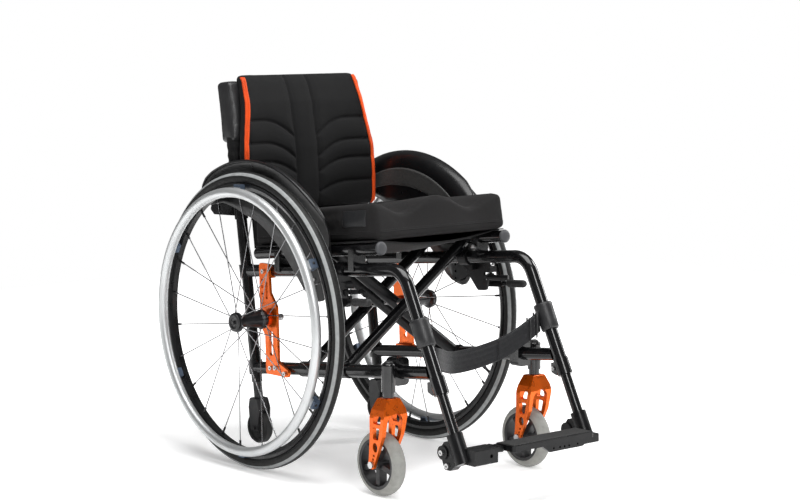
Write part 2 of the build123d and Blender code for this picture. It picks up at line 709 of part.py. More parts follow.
with BuildPart() as calf_strap:
    strap_plane = Plane(
        origin=STRAP_RIGHT - STRAP_UP.normalized() * STRAP_HEIGHT / 2,
        x_dir=STRAP_LEFT - STRAP_RIGHT,
        z_dir=STRAP_UP,
    )
    span = (STRAP_LEFT - STRAP_RIGHT).length
    slack = (STRAP_MIDDLE - STRAP_RIGHT).cross(STRAP_LEFT - STRAP_RIGHT).length / span
    with BuildSketch(strap_plane):
        with BuildLine():
            ThreePointArc((0, 0), (span / 2, slack), (span, 0))
            ThreePointArc((0, STRAP_THICKNESS), (span / 2, slack + STRAP_THICKNESS), (span, STRAP_THICKNESS))
            Line((0, 0), (0, STRAP_THICKNESS))
            Line((span, 0), (span, STRAP_THICKNESS))
        make_face()
    extrude(amount=STRAP_HEIGHT)
write(calf_strap, "calf_strap")

# ---------------------------------------------------------------- side guard

GUARD_X, GUARD_Z, GUARD_RADIUS = -8.0, 298.0, 312.5
GUARD_IN_Y, GUARD_OUT_Y, GUARD_SHEET = 183.0, 212.0, 3.0
GUARD_BOLTS = ((166, 360), (166, 374), (166, 388))
with BuildPart() as side_guard:
    # crescent panel beside the wheel, ending in a bolted lobe
    with BuildSketch(side_plane(GUARD_IN_Y + GUARD_SHEET)):
        with BuildLine():
            ThreePointArc((-150, 560), (GUARD_X + 60, GUARD_Z + 306.7), (214, 517))
            Spline((214, 517), (214, 440), (205, 368))
            ThreePointArc((205, 368), (170, 349), (131, 366))
            Spline((131, 366), (83, 416), (32, 459), (-57, 499), (-132, 520))
            Line((-132, 520), (-150, 560))
        make_face()
    extrude(amount=GUARD_SHEET)
    # roof over the tyre
    with BuildSketch(side_plane(GUARD_OUT_Y)):
        with Locations((GUARD_X, GUARD_Z)):
            Circle(GUARD_RADIUS)
            Circle(GUARD_RADIUS - GUARD_SHEET, mode=Mode.SUBTRACT)
        with BuildLine():
            Polyline(
                (GUARD_X, GUARD_Z),
                (GUARD_X + 400 * sin(radians(-26)), GUARD_Z + 400 * cos(radians(26))),
                (GUARD_X + 10, GUARD_Z + 460),
                (GUARD_X + 400 * sin(radians(45.5)), GUARD_Z + 400 * cos(radians(45.5))),
                close=True,
            )
        make_face(mode=Mode.INTERSECT)
    extrude(amount=GUARD_OUT_Y - GUARD_IN_Y)
    for x, z in GUARD_BOLTS:
        cross_hole(x, z, 2.6, GUARD_IN_Y - 1, GUARD_IN_Y + GUARD_SHEET + 1)
write_pair(side_guard, "side_guard")

# ---------------------------------------------------------------- brake

BRAKE_CLAMP_X = 222.0
LEVER_X, LEVER_Z, LEVER_Y = 252.0, 355.0, 199.0
SHOE_X, SHOE_Y, SHOE_Z = 262.0, 187.0, 373.0
SHOE_REACH, SHOE_WIDTH, SHOE_STOW = 31.0, 46.0, -60.0  # arm, rubbing bar, and the angle it is folded in by
BRAKE_PIN = 3.0

with BuildPart() as brake_clamp:
    low, high = BRAKE_CLAMP_X - 12, BRAKE_CLAMP_X + 12
    rod(at(low, FRAME_Y, upper_z(low)), at(high, FRAME_Y, upper_z(high)), 16.0)
    side_plate([(210, 402), (270, 402), (272, 380), (262, 344), (238, 342), (210, 372)], 174, 179, rounding=6)
    side_plate([(256, 365), (280, 365), (280, 380), (256, 380)], 174, 179, mode=Mode.SUBTRACT)
    side_plate([(210, 384), (234, 384), (234, 404), (210, 404)], FRAME_Y + 4, 176)
    rod(
        at(low - 9, FRAME_Y, upper_z(low - 9)),
        at(high + 9, FRAME_Y, upper_z(high + 9)),
        TUBE_RADIUS + SEAT_GAP,
        mode=Mode.SUBTRACT,
    )
    # lug and pin of the shoe, pin of the lever
    side_plate([(250, 380), (272, 380), (272, 392), (250, 392)], 176, SHOE_Y + 7, rounding=3)
    rod(at(SHOE_X, SHOE_Y, 366), at(SHOE_X, SHOE_Y, 386), BRAKE_PIN)
    rod(at(LEVER_X, 176, LEVER_Z), at(LEVER_X, LEVER_Y + 5.5, LEVER_Z), BRAKE_PIN)
    # arm that carries the side guard's lobe
    side_plate([(156, 356), (176, 354), (214, 374), (214, 398), (176, 396), (156, 392)], 179, 182.9, rounding=3)
    side_plate([(211, 376), (213.9, 376), (213.9, 396), (211, 396)], 178, 181)
    for x, z in GUARD_BOLTS:
        cross_hole(x, z, 2.6, 170, 184)
write_pair(brake_clamp, "brake_clamp")

with BuildPart() as brake_lever:
    side_plate(
        [(LEVER_X - 12, LEVER_Z - 7), (LEVER_X - 12, LEVER_Z + 7), (286, LEVER_Z + 8), (286, LEVER_Z - 4)],
        LEVER_Y - 4.5,
        LEVER_Y + 4.5,
        rounding=4,
    )
    rod(at(280, LEVER_Y, 357.5), at(344, LEVER_Y, 362), 4.2)
    cross_hole(LEVER_X, LEVER_Z, BRAKE_PIN + RUNNING_GAP, LEVER_Y - 12, LEVER_Y + 12)
write_pair(brake_lever, "brake_lever")


def shoe_point(forward, outward):
    """A point of the brake shoe, folded in about its pivot."""
    turned = radians(SHOE_STOW)
    return (
        AXLE_X + SHOE_X + forward * cos(turned) - outward * sin(turned),
        SHOE_Y + forward * sin(turned) + outward * cos(turned),
        SHOE_Z,
    )


with BuildPart() as brake_shoe:
    # arm from the pivot, and the rubbing bar across its end
    with BuildSketch(Plane.XY.offset(SHOE_Z - 4)):
        with Locations(shoe_point(0, 0)[:2]):
            Circle(7)
        with BuildLine():
            corners = ((0, -4), (SHOE_REACH + 4, -4), (SHOE_REACH + 4, 10), (SHOE_REACH - 4, 10), (SHOE_REACH - 6, 4), (0, 4))
            Polyline(*(shoe_point(*corner)[:2] for corner in corners), close=True)
        make_face()
        with Locations(shoe_point(0, 0)[:2]):
            Circle(BRAKE_PIN + RUNNING_GAP, mode=Mode.SUBTRACT)
    extrude(amount=8)
    rod(shoe_point(SHOE_REACH, 3), shoe_point(SHOE_REACH, SHOE_WIDTH), 5.5)
write_pair(brake_shoe, "brake_shoe")

# ---------------------------------------------------------------- anti-tip arms

TIP_X, TIP_Z, TIP_RADIUS, TIP_HALF = -55.0, 66.0, 32.0, 10.5
TIP_TUBE_RADIUS = POST_BORE - RUNNING_GAP
TIP_PIN = 4.0
with BuildPart() as anti_tip_arm:
    rod(at(post_x(126), FRAME_Y, 126), at(post_x(240), FRAME_Y, 240), TIP_TUBE_RADIUS)
    # fork: a cover over the wheel with two cheeks
    for way in (-1, 1):
        y_near, y_far = FRAME_Y + way * (TIP_HALF + 1.5), FRAME_Y + way * (TIP_HALF + 4.5)
        side_plate(
            [
                (TIP_X - 12, TIP_Z - 6),
                (TIP_X + 12, TIP_Z - 6),
                (TIP_X + 16, TIP_Z + 40),
                (TIP_X + 8, TIP_Z + 60),
                (TIP_X - 14, TIP_Z + 60),
                (TIP_X - 18, TIP_Z + 40),
            ],
            min(y_near, y_far),
            max(y_near, y_far),
            rounding=5,
        )
    side_plate(
        [(TIP_X - 17, TIP_Z + 38), (TIP_X + 15, TIP_Z + 38), (TIP_X + 8, TIP_Z + 60), (TIP_X - 14, TIP_Z + 60)],
        FRAME_Y - TIP_HALF - 2,
        FRAME_Y + TIP_HALF + 2,
    )
    cross_hole(TIP_X, TIP_Z, TIP_PIN, FRAME_Y - 20, FRAME_Y + 20)
    pin_half = TIP_HALF + 7
    rod(at(TIP_X, FRAME_Y - pin_half, TIP_Z), at(TIP_X, FRAME_Y + pin_half, TIP_Z), TIP_PIN)
write_pair(anti_tip_arm, "anti_tip_arm")

with BuildPart() as anti_tip_wheel:
    turn(
        [
            (-TIP_HALF, TIP_PIN + RUNNING_GAP),
            (-TIP_HALF, 12),
            (-TIP_HALF + 3, 13),
            (-TIP_HALF + 3, 24),
            (-TIP_HALF, 26),
            (-TIP_HALF, 29),
            (-TIP_HALF + 4, TIP_RADIUS),
            (TIP_HALF - 4, TIP_RADIUS),
            (TIP_HALF, 29),
            (TIP_HALF, 26),
            (TIP_HALF - 3, 24),
            (TIP_HALF - 3, 13),
            (TIP_HALF, 12),
            (TIP_HALF, TIP_PIN + RUNNING_GAP),
        ],
        at(TIP_X, FRAME_Y, TIP_Z),
    )
write_pair(anti_tip_wheel, "anti_tip_wheel")

# ---------------------------------------------------------------- footrest

FOOT_TUBE_RADIUS = 9.9
SOCKET_RADIUS = 15.0
SOCKET_TOP_Z, SOCKET_LOW_Z = 137.0, 86.0
with BuildPart() as footrest_tube:
    rod(at(leg_x(SOCKET_LOW_Z + 5), FRAME_Y, SOCKET_LOW_Z + 5), at(leg_x(300), FRAME_Y, 300), FOOT_TUBE_RADIUS)
    rod(at(leg_x(SOCKET_LOW_Z), FRAME_Y, SOCKET_LOW_Z), at(leg_x(296), FRAME_Y, 296), 8, mode=Mode.SUBTRACT)
write_pair(footrest_tube, "footrest_tube")

PLATE_LOW_Z, PLATE_TOP_Z = 104.5, 115.0
PLATE_REAR_X, PLATE_FRONT_X = 560.0, 610.0
PLATE_RIGHT_Y, PLATE_LEFT_Y = -82.0, 125.0
HINGE_Y, HINGE_Z = -92.0, 109.0
KNUCKLE_RADIUS, HINGE_PIN = 5.0, 2.5
BRACKET_REAR_X, BRACKET_FRONT_X = 554.0, 590.0
EAR_LENGTH = 7.0


def footrest_socket(side):
    """A socket on the footrest tube, with its pinch lug and boss behind."""
    low = at(leg_x(SOCKET_LOW_Z), side * FRAME_Y, SOCKET_LOW_Z)
    high = at(leg_x(SOCKET_TOP_Z), side * FRAME_Y, SOCKET_TOP_Z)
    rod(low, high, SOCKET_RADIUS)
    middle = side * FRAME_Y
    side_plate(
        [(503, 104), (516, 122), (540, 128), (548, 84), (534, 71), (518, 71)],
        middle - 9,
        middle + 9,
        rounding=4,
    )
    rod(at(514, middle - 12, 102), at(514, middle + 12, 102), 13)


def socket_bore(side):
    rod(
        at(leg_x(SOCKET_LOW_Z + 5), side * FRAME_Y, SOCKET_LOW_Z + 5),
        at(leg_x(200), side * FRAME_Y, 200),
        FOOT_TUBE_RADIUS + SEAT_GAP,
        mode=Mode.SUBTRACT,
    )


def bracket_block(y_inner, y_outer, z_low, z_high):
    """The arm that reaches inwards from a socket."""
    side_plate(
        [
            (BRACKET_REAR_X, z_low),
            (BRACKET_FRONT_X, z_low),
            (BRACKET_FRONT_X, z_high),
            (BRACKET_REAR_X, z_high),
        ],
        y_inner,
        y_outer,
        rounding=2,
    )


with BuildPart() as footrest_bracket_left:
    footrest_socket(1)
    bracket_block(112, FRAME_Y, 88, PLATE_LOW_Z - 0.4)
    socket_bore(1)
write(footrest_bracket_left, "footrest_bracket_left")

with BuildPart() as footrest_bracket_right:
    footrest_socket(-1)
    bracket_block(-FRAME_Y, HINGE_Y - 10, 86, PLATE_TOP_Z)
    for x in (BRACKET_REAR_X, BRACKET_FRONT_X - EAR_LENGTH):
        rod(at(x, HINGE_Y, HINGE_Z), at(x + EAR_LENGTH, HINGE_Y, HINGE_Z), KNUCKLE_RADIUS)
        with BuildSketch(Plane(origin=at(x, 0, 0), x_dir=(0, 1, 0), z_dir=(1, 0, 0))):
            with Locations((HINGE_Y - 6, HINGE_Z)):
                Rectangle(12, 2 * KNUCKLE_RADIUS - 1)
        extrude(amount=EAR_LENGTH)
    rod(at(BRACKET_REAR_X, HINGE_Y, HINGE_Z), at(BRACKET_FRONT_X, HINGE_Y, HINGE_Z), HINGE_PIN)
    rod(at(BRACKET_REAR_X - 1, -118, 100), at(BRACKET_FRONT_X + 1, -118, 100), 3.5, mode=Mode.SUBTRACT)
    socket_bore(-1)
write(footrest_bracket_right, "footrest_bracket_right")

with BuildPart() as footplate:
    # tread plate
    with BuildSketch(Plane.XY.offset(PLATE_LOW_Z)):
        with Locations(at((PLATE_REAR_X + PLATE_FRONT_X) / 2, (PLATE_RIGHT_Y + PLATE_LEFT_Y) / 2, 0)[:2]):
            RectangleRounded(PLATE_FRONT_X - PLATE_REAR_X, PLATE_LEFT_Y - PLATE_RIGHT_Y, 6)
    extrude(amount=PLATE_TOP_Z - PLATE_LOW_Z)
    # hinge knuckle between the bracket's ears
    knuckle_start, knuckle_end = BRACKET_REAR_X + EAR_LENGTH + 0.5, BRACKET_FRONT_X - EAR_LENGTH - 0.5
    rod(at(knuckle_start, HINGE_Y, HINGE_Z), at(knuckle_end, HINGE_Y, HINGE_Z), KNUCKLE_RADIUS)
    with BuildSketch(Plane(origin=at(knuckle_start, 0, 0), x_dir=(0, 1, 0), z_dir=(1, 0, 0))):
        with Locations((HINGE_Y + 6, HINGE_Z)):
            Rectangle(12, 2 * KNUCKLE_RADIUS - 1)
    extrude(amount=knuckle_end - knuckle_start)
    rod(
        at(knuckle_start - 5, HINGE_Y, HINGE_Z),
        at(knuckle_end + 5, HINGE_Y, HINGE_Z),
        HINGE_PIN + RUNNING_GAP,
        mode=Mode.SUBTRACT,
    )
    # drilled adjustment rail under the front edge
    rail_front = PLATE_FRONT_X - 3
    with BuildSketch(Plane(origin=at(rail_front - 8, 0, 0), x_dir=(0, 1, 0), z_dir=(1, 0, 0))):
        with BuildLine():
            Polyline((-8, 105), (104, 105), (104, 94), (96, 91), (12, 91), close=True)
        make_face()
        for y in (22, 38, 50, 62, 84):
            with Locations((y, 97)):
                Circle(2.2, mode=Mode.SUBTRACT)
    extrude(amount=8)
write(footplate, "footplate")

# ---------------------------------------------------------------- fasteners

SIDE_BOLTS = (
    (-8, PLATE_OUT_Y, 389),
    (12, PLATE_OUT_Y, 197),
    (28, PLATE_OUT_Y, 199),
    (58, PLATE_OUT_Y, 191),
)
with BuildPart() as side_bolts:
    for x, y, z in SIDE_BOLTS:
        socket_bolt(x, y + SEAT_GAP, z, 1)
    for x, z in GUARD_BOLTS:
        socket_bolt(x, GUARD_IN_Y + GUARD_SHEET + SEAT_GAP, z, 1, radius=4, height=2.5)
    for x in SADDLE_X:
        socket_bolt(x, FRAME_Y - SADDLE_WIDTH / 2 - SEAT_GAP, (upper_z(x) + rail_z(x)) / 2, -1, radius=6)
    for z in (188, 381):
        socket_bolt(post_x(z) + 2, FRAME_Y - POST_CLAMP_RADIUS - SEAT_GAP, z, -1, radius=4)
    socket_bolt(leg_x(LEG_END_Z + 8) - 20, FRAME_Y - 8 - SEAT_GAP, LEG_END_Z + 10, -1, radius=4)
    socket_bolt(514, FRAME_Y + 12 + SEAT_GAP, 102, 1, radius=5)
    socket_bolt(526, FRAME_Y + 9 + SEAT_GAP, 79, 1, radius=5)
write_pair(side_bolts, "side_bolts")
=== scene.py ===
"""Looks of a folding active wheelchair, in metres, in the CAD model's own frame: +X forward, +Y to the left, +Z up."""

import math

import bpy
import numpy as np
from mathutils import Matrix, Vector
from mathutils.bvhtree import BVHTree


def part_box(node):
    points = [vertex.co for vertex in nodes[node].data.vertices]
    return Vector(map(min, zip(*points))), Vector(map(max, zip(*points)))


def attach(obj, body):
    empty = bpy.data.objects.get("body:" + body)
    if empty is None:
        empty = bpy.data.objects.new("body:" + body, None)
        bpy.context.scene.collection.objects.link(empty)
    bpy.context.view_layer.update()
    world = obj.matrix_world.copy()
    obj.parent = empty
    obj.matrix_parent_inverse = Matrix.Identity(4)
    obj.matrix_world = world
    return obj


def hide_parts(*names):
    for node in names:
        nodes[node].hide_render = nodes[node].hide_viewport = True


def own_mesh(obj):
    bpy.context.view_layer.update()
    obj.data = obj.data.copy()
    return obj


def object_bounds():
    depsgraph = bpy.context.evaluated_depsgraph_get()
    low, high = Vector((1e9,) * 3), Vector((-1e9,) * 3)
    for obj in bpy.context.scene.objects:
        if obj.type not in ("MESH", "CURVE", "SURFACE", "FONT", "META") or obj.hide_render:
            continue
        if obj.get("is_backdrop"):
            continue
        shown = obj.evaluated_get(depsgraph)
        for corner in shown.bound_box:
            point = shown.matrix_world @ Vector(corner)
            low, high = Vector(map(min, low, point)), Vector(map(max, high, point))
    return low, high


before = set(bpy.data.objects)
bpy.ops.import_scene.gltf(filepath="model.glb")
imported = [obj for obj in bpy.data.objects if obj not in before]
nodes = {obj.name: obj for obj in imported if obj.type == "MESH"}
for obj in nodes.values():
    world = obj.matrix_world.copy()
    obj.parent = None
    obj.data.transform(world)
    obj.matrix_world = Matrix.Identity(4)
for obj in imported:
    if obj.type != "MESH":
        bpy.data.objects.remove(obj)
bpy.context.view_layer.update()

SIDES = (("right", -1.0), ("left", 1.0))
hub_low, hub_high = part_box("rear_hub_left")
AXLE = (hub_low + hub_high) / 2
AX = AXLE.x  # rear axle
FRAME_Y = 0.158  # centre plane of a side frame
WHEEL_Y = AXLE.y  # centre plane of a rear wheel

POST_LEAN = 0.134  # back posts, metres back per metre up
RAIL_RISE = 0.1013  # seat rails, metres up per metre ahead
UPPER_RISE = 0.0882  # upper side tubes, metres up per metre ahead
LEG_SLOPE = 0.482  # legs, metres ahead per metre down
RAIL_END, RAIL_END_Z = 0.332, 0.459  # front end of a seat rail, ahead of the rear axle


def post_x(z):
    """Where a back post's axis is at a height."""
    return AX - 0.063 - POST_LEAN * (z - 0.165)


def rail_z(x):
    """Height of a seat rail's axis, x metres ahead of the rear axle."""
    return RAIL_END_Z + RAIL_RISE * (x - RAIL_END)


def upper_z(x):
    """Height of an upper side tube's axis, x metres ahead of the rear axle."""
    return 0.3895 + UPPER_RISE * x


def leg_x(z):
    """Where a leg's axis is at a height."""
    return AX + 0.431 + LEG_SLOPE * (0.352 - z)


# -------------------- materials


class Net:
    """A procedural material around one Principled shader; points are the object's own coordinates, in metres."""

    def __init__(self, name):
        self.material = bpy.data.materials.new(name)
        self.material.use_nodes = True
        self.tree = self.material.node_tree
        self.shader = self.tree.nodes["Principled BSDF"]
        self.point = self.node("ShaderNodeTexCoord").outputs["Object"]

    def put(self, value, socket):
        if isinstance(value, bpy.types.NodeSocket):
            self.tree.links.new(value, socket)
        elif isinstance(value, (tuple, list)) and len(value) == 3 and socket.type == "RGBA":
            socket.default_value = (*value, 1.0)
        else:
            socket.default_value = value

    def node(self, kind, inputs=None, **settings):
        made = self.tree.nodes.new(kind)
        for key, value in settings.items():
            setattr(made, key, value)
        for key, value in (inputs or {}).items():
            self.put(value, made.inputs[key])
        return made

    def maths(self, operation, a, b=0.0, c=0.0):
        return self.node("ShaderNodeMath", {0: a, 1: b, 2: c}, operation=operation).outputs[0]

    def stretched(self, scale):
        return self.node("ShaderNodeMapping", {"Vector": self.point, "Scale": scale}).outputs[0]

    def noise(self, scale, detail=3.0, stretch=(1, 1, 1), rough=0.55, at=None):
        point = at or self.stretched(stretch)
        inputs = {"Vector": point, "Scale": scale, "Detail": detail, "Roughness": rough}
        return self.node("ShaderNodeTexNoise", inputs).outputs["Fac"]

    def cells(self, scale):
        inputs = {"Vector": self.stretched((1, 1, 1)), "Scale": scale}
        return self.node("ShaderNodeTexVoronoi", inputs, feature="F1").outputs["Distance"]

    def span(self, value, low, high, start=0.3, end=0.7):
        """Value from start to end becomes low to high."""
        inputs = {"Value": value, "From Min": start, "From Max": end, "To Min": low, "To Max": high}
        return self.node("ShaderNodeMapRange", inputs).outputs["Result"]

    def mix(self, share, a, b):
        made = self.node("ShaderNodeMix", data_type="RGBA")
        self.put(share, made.inputs["Factor"])
        self.put(a, made.inputs[6])
        self.put(b, made.inputs[7])
        return made.outputs[2]

    def axes(self):
        return self.node("ShaderNodeSeparateXYZ", {0: self.point}).outputs

    def bump(self, height, distance, before=None):
        inputs = {"Height": height, "Distance": distance, "Strength": 1.0}
        if before is not None:
            inputs["Normal"] = before
        return self.node("ShaderNodeBump", inputs).outputs["Normal"]

    def wave(self, axis, pitch):
        """A ridge every pitch metres along an axis socket, from 0 to 1."""
        turned = self.maths("MULTIPLY", axis, 2 * math.pi / pitch)
        return self.maths("MULTIPLY_ADD", self.maths("SINE", turned), 0.5, 0.5)

    def weave(self, a, b, pitch):
        """Crossing threads: over and under in both directions."""
        one, two = self.wave(a, 2 * pitch), self.wave(b, 2 * pitch)
        same = self.maths("MULTIPLY", one, two)
        other = self.maths("MULTIPLY", self.maths("SUBTRACT", 1.0, one), self.maths("SUBTRACT", 1.0, two))
        return self.maths("ADD", same, other)

    def finish(self, **sockets):
        for key, value in sockets.items():
            self.put(value, self.shader.inputs[key.replace("_", " ")])
        return self.material


PART_BLACK = (0.012, 0.012, 0.013)  # black ends of the spokes and axle pins


def scaled(colour, share):
    return tuple(min(1.0, c * share) for c in colour)


def paint(name, colour, rough=0.2, coat=0.5, peel=3e-5, specular=0.5):
    """Powder coat: orange peel, faint clouds, rubbed patches and small scratches."""
    net = Net(name)
    clouds = net.noise(11, 4)
    rubbed = net.noise(48, 5)
    scratch = net.span(net.noise(260, 2, (1, 1, 0.12)), 0, 1, 0.62, 0.74)
    base = net.mix(net.span(clouds, 0, 1), scaled(colour, 0.8), scaled(colour, 1.25))
    base = net.mix(net.maths("MULTIPLY", scratch, 0.25), base, scaled(colour, 2.2))
    roughness = net.maths("ADD", net.span(rubbed, rough - 0.05, rough + 0.09), net.maths("MULTIPLY", scratch, 0.08))
    normal = net.bump(net.noise(520, 2), peel)
    return net.finish(
        Base_Color=base, Roughness=roughness, Normal=normal,
        Coat_Weight=coat, Coat_Roughness=0.08, Specular_IOR_Level=specular,
    )


def anodised(name, colour, rough=0.3, metallic=0.85, grain=(1, 1, 1), coat=0.15):
    """Coloured or plain aluminium with a fine directional grain."""
    net = Net(name)
    brushed = net.noise(900, 3, grain)
    clouds = net.noise(14, 3)
    base = net.mix(net.span(clouds, 0, 1), scaled(colour, 0.88), scaled(colour, 1.1))
    base = net.mix(net.span(brushed, 0, 0.35), base, scaled(colour, 0.7))
    roughness = net.span(net.noise(85, 5), rough - 0.06, rough + 0.08)
    return net.finish(
        Base_Color=base, Roughness=roughness, Metallic=metallic, Normal=net.bump(brushed, 1.2e-5),
        Coat_Weight=coat, Coat_Roughness=0.15,
    )


def plastic(name, colour, rough):
    """Moulded plastic with a spark-eroded grain."""
    net = Net(name)
    grain = net.noise(1500, 2)
    base = net.mix(net.span(net.noise(18, 4), 0, 1), scaled(colour, 0.8), scaled(colour, 1.3))
    return net.finish(
        Base_Color=base, Roughness=net.span(net.noise(120, 4), rough - 0.07, rough + 0.1),
        Normal=net.bump(grain, 3e-5), Coat_Weight=0.0, Coat_Roughness=0.1,
    )


def wheel_radius(net):
    """Distance of a point from the rear axle's line, as a socket."""
    x, _, z = net.axes()
    dx, dz = net.maths("SUBTRACT", x, AXLE.x), net.maths("SUBTRACT", z, AXLE.z)
    square = net.maths("ADD", net.maths("MULTIPLY", dx, dx), net.maths("MULTIPLY", dz, dz))
    return net.maths("SQRT", square)


def across_wheel(net):
    """Distance of a point outboard of a rear wheel's centre plane, as a socket."""
    return net.maths("SUBTRACT", net.maths("ABSOLUTE", net.axes()[1]), WHEEL_Y)


def spoke_material():
    """Polished steel wires that end in black nipples."""
    net = Net("spoke_steel")
    nipple_radius = 0.2465
    nipple = net.maths("GREATER_THAN", wheel_radius(net), nipple_radius)
    wire = net.mix(net.span(net.noise(700, 3), 0, 1), (0.2, 0.2, 0.205), (0.34, 0.34, 0.35))
    metal = net.maths("SUBTRACT", 1.0, nipple)
    return net.finish(
        Base_Color=net.mix(nipple, wire, PART_BLACK), Metallic=metal,
        Roughness=net.span(net.noise(900, 2), 0.16, 0.3), Normal=net.bump(net.noise(2200, 2), 6e-6),
    )


def axle_material():
    """Turned steel pin with a black outboard head."""
    net = Net("axle_steel")
    head_start = 0.032
    head = net.maths("GREATER_THAN", across_wheel(net), head_start)
    grain = net.noise(1100, 3, (1, 0.1, 1))
    steel = net.mix(net.span(grain, 0, 1), (0.45, 0.45, 0.45), (0.65, 0.65, 0.66))
    return net.finish(
        Base_Color=net.mix(head, steel, PART_BLACK), Metallic=net.maths("SUBTRACT", 1.0, head),
        Roughness=net.span(grain, 0.2, 0.36), Normal=net.bump(grain, 1e-5),
    )


def handrim_material():
    """Satin anodised tube with lathe lines around it, and darker tabs on its inboard side."""
    net = Net("handrim_aluminium")
    radius, across = wheel_radius(net), across_wheel(net)
    tab_inboard, tab_radius = 0.0221, 0.2655  # a tab is nearer the wheel than one, or farther out than the other
    lathed = net.node("ShaderNodeCombineXYZ", {0: radius, 1: across, 2: 0.0}).outputs[0]
    lines = net.noise(1800, 3, at=lathed)
    worn = net.span(net.noise(22, 5), 0, 1, 0.45, 0.75)
    silver = net.mix(net.span(lines, 0, 1), (0.54, 0.555, 0.56), (0.68, 0.69, 0.695))
    silver = net.mix(net.maths("MULTIPLY", worn, 0.18), silver, (0.4, 0.4, 0.4))
    inboard, outward = net.maths("LESS_THAN", across, tab_inboard), net.maths("GREATER_THAN", radius, tab_radius)
    tab = net.maths("MAXIMUM", inboard, outward)
    rough = net.maths("ADD", net.span(lines, 0.36, 0.46), net.maths("MULTIPLY", worn, 0.1))
    return net.finish(
        Base_Color=net.mix(tab, silver, (0.09, 0.12, 0.17)), Metallic=net.span(tab, 0.75, 0.5, 0, 1), Roughness=rough,
        Normal=net.bump(lines, 1.5e-5),
    )


def tyre_material():
    """Black rubber with a pale reflective stripe on each shoulder, fine sidewall ribs and small tread blocks."""
    net = Net("tyre_rubber")
    radius = wheel_radius(net)
    x, _, z = net.axes()
    turn = net.maths("ARCTAN2", net.maths("SUBTRACT", x, AXLE.x), net.maths("SUBTRACT", z, AXLE.z))
    # the stripe fades in and out, and the tread starts beyond it, between these radii
    stripe_in, stripe_out, tread = (0.2872, 0.2876), (0.2928, 0.2932), (0.2934, 0.2940)
    tread_blocks = 330
    outer = net.span(radius, 0, 1, *stripe_in)
    pale = net.maths("MULTIPLY", outer, net.span(radius, 1, 0, *stripe_out))
    band = net.span(radius, 0, 1, *tread)
    dust = net.noise(90, 5)
    black = net.mix(net.span(dust, 0, 1), (0.0045, 0.0045, 0.0045), (0.011, 0.011, 0.0107))
    grey = net.mix(net.span(dust, 0, 1), (0.24, 0.25, 0.25), (0.33, 0.34, 0.34))
    blocks = net.maths("MULTIPLY", net.wave(turn, 2 * math.pi / tread_blocks), band)
    ribs = net.wave(radius, 0.0016)
    height = net.maths("ADD", blocks, net.maths("MULTIPLY", ribs, 0.25))
    return net.finish(
        Base_Color=net.mix(pale, black, grey), Roughness=net.span(net.noise(300, 4), 0.5, 0.72),
        Normal=net.bump(net.noise(1600, 2), 4e-5, net.bump(height, 2.5e-4)), Specular_IOR_Level=0.35,
    )


def cloth(name, colour, a, b, pitch, depth=1.2e-4, rough=0.85, sheen=0.25, fuzz=1.0):
    """Woven or knitted fabric; a and b name the axes its threads follow."""
    net = Net(name)
    axes = dict(zip("xyz", net.axes()))
    threads = net.weave(axes[a], axes[b], pitch)
    clouds = net.noise(16, 5)
    lint = net.span(net.noise(2600, 3), 0, 1, 0.66, 0.8)
    base = net.mix(net.span(clouds, 0, 1), scaled(colour, 0.72), scaled(colour, 1.35))
    base = net.mix(net.maths("MULTIPLY", net.maths("SUBTRACT", 1.0, threads), 0.55), base, scaled(colour, 0.45))
    base = net.mix(net.maths("MULTIPLY", lint, 0.25 * fuzz), base, scaled(colour, 3.0))
    normal = net.bump(threads, depth, net.bump(net.noise(60, 4), 5e-4))
    return net.finish(
        Base_Color=base, Roughness=net.span(clouds, rough - 0.06, rough + 0.06), Normal=normal,
        Sheen_Weight=sheen, Sheen_Roughness=0.45, Sheen_Tint=(0.5, 0.5, 0.5, 1.0), Specular_IOR_Level=0.25,
    )


def leatherette(name):
    """Coated fabric with a pebbled grain and a soft shine."""
    net = Net(name)
    pebble = net.cells(620)
    crease = net.noise(36, 6)
    base = net.mix(net.span(pebble, 0, 1, 0.1, 0.6), (0.006, 0.006, 0.007), (0.018, 0.018, 0.019))
    normal = net.bump(pebble, 1.6e-4, net.bump(crease, 1.2e-3))
    return net.finish(
        Base_Color=base, Roughness=net.span(crease, 0.28, 0.46), Normal=normal, Specular_IOR_Level=0.5,
    )


def webbing_material():
    """Ribbed polyester webbing: cords along its length, crossed by fine picks."""
    net = Net("webbing_black")
    x, y, z = net.axes()
    ribs, picks = net.wave(z, 0.0021), net.wave(y, 0.0011)
    height = net.maths("ADD", ribs, net.maths("MULTIPLY", picks, 0.5))
    base = net.mix(net.span(height, 0, 1, 0, 1.5), (0.004, 0.004, 0.005), (0.02, 0.02, 0.022))
    return net.finish(
        Base_Color=base, Roughness=net.span(net.noise(140, 4), 0.62, 0.8), Normal=net.bump(height, 2e-4),
        Sheen_Weight=0.2, Sheen_Roughness=0.4, Specular_IOR_Level=0.3,
    )


def speckled(name):
    """Mottled grey laminate with pale and dark flecks."""
    net = Net(name)
    flecks = net.noise(900, 4, rough=0.8)
    base = net.mix(net.span(flecks, 0, 1, 0.4, 0.62), (0.012, 0.012, 0.012), (0.085, 0.085, 0.083))
    return net.finish(Base_Color=base, Roughness=net.span(flecks, 0.4, 0.6), Normal=net.bump(flecks, 6e-5))


def rubber(name, colour, rough):
    """Moulded rubber, dusty and scuffed."""
    net = Net(name)
    dust = net.noise(70, 6)
    scuff = net.span(net.noise(210, 4, (1, 0.3, 1)), 0, 1, 0.58, 0.72)
    base = net.mix(net.span(dust, 0, 1), scaled(colour, 0.82), scaled(colour, 1.14))
    base = net.mix(net.maths("MULTIPLY", scuff, 0.3), base, scaled(colour, 0.55))
    return net.finish(
        Base_Color=base, Roughness=net.span(dust, rough - 0.08, rough + 0.1), Normal=net.bump(net.noise(1100, 3), 5e-5),
    )


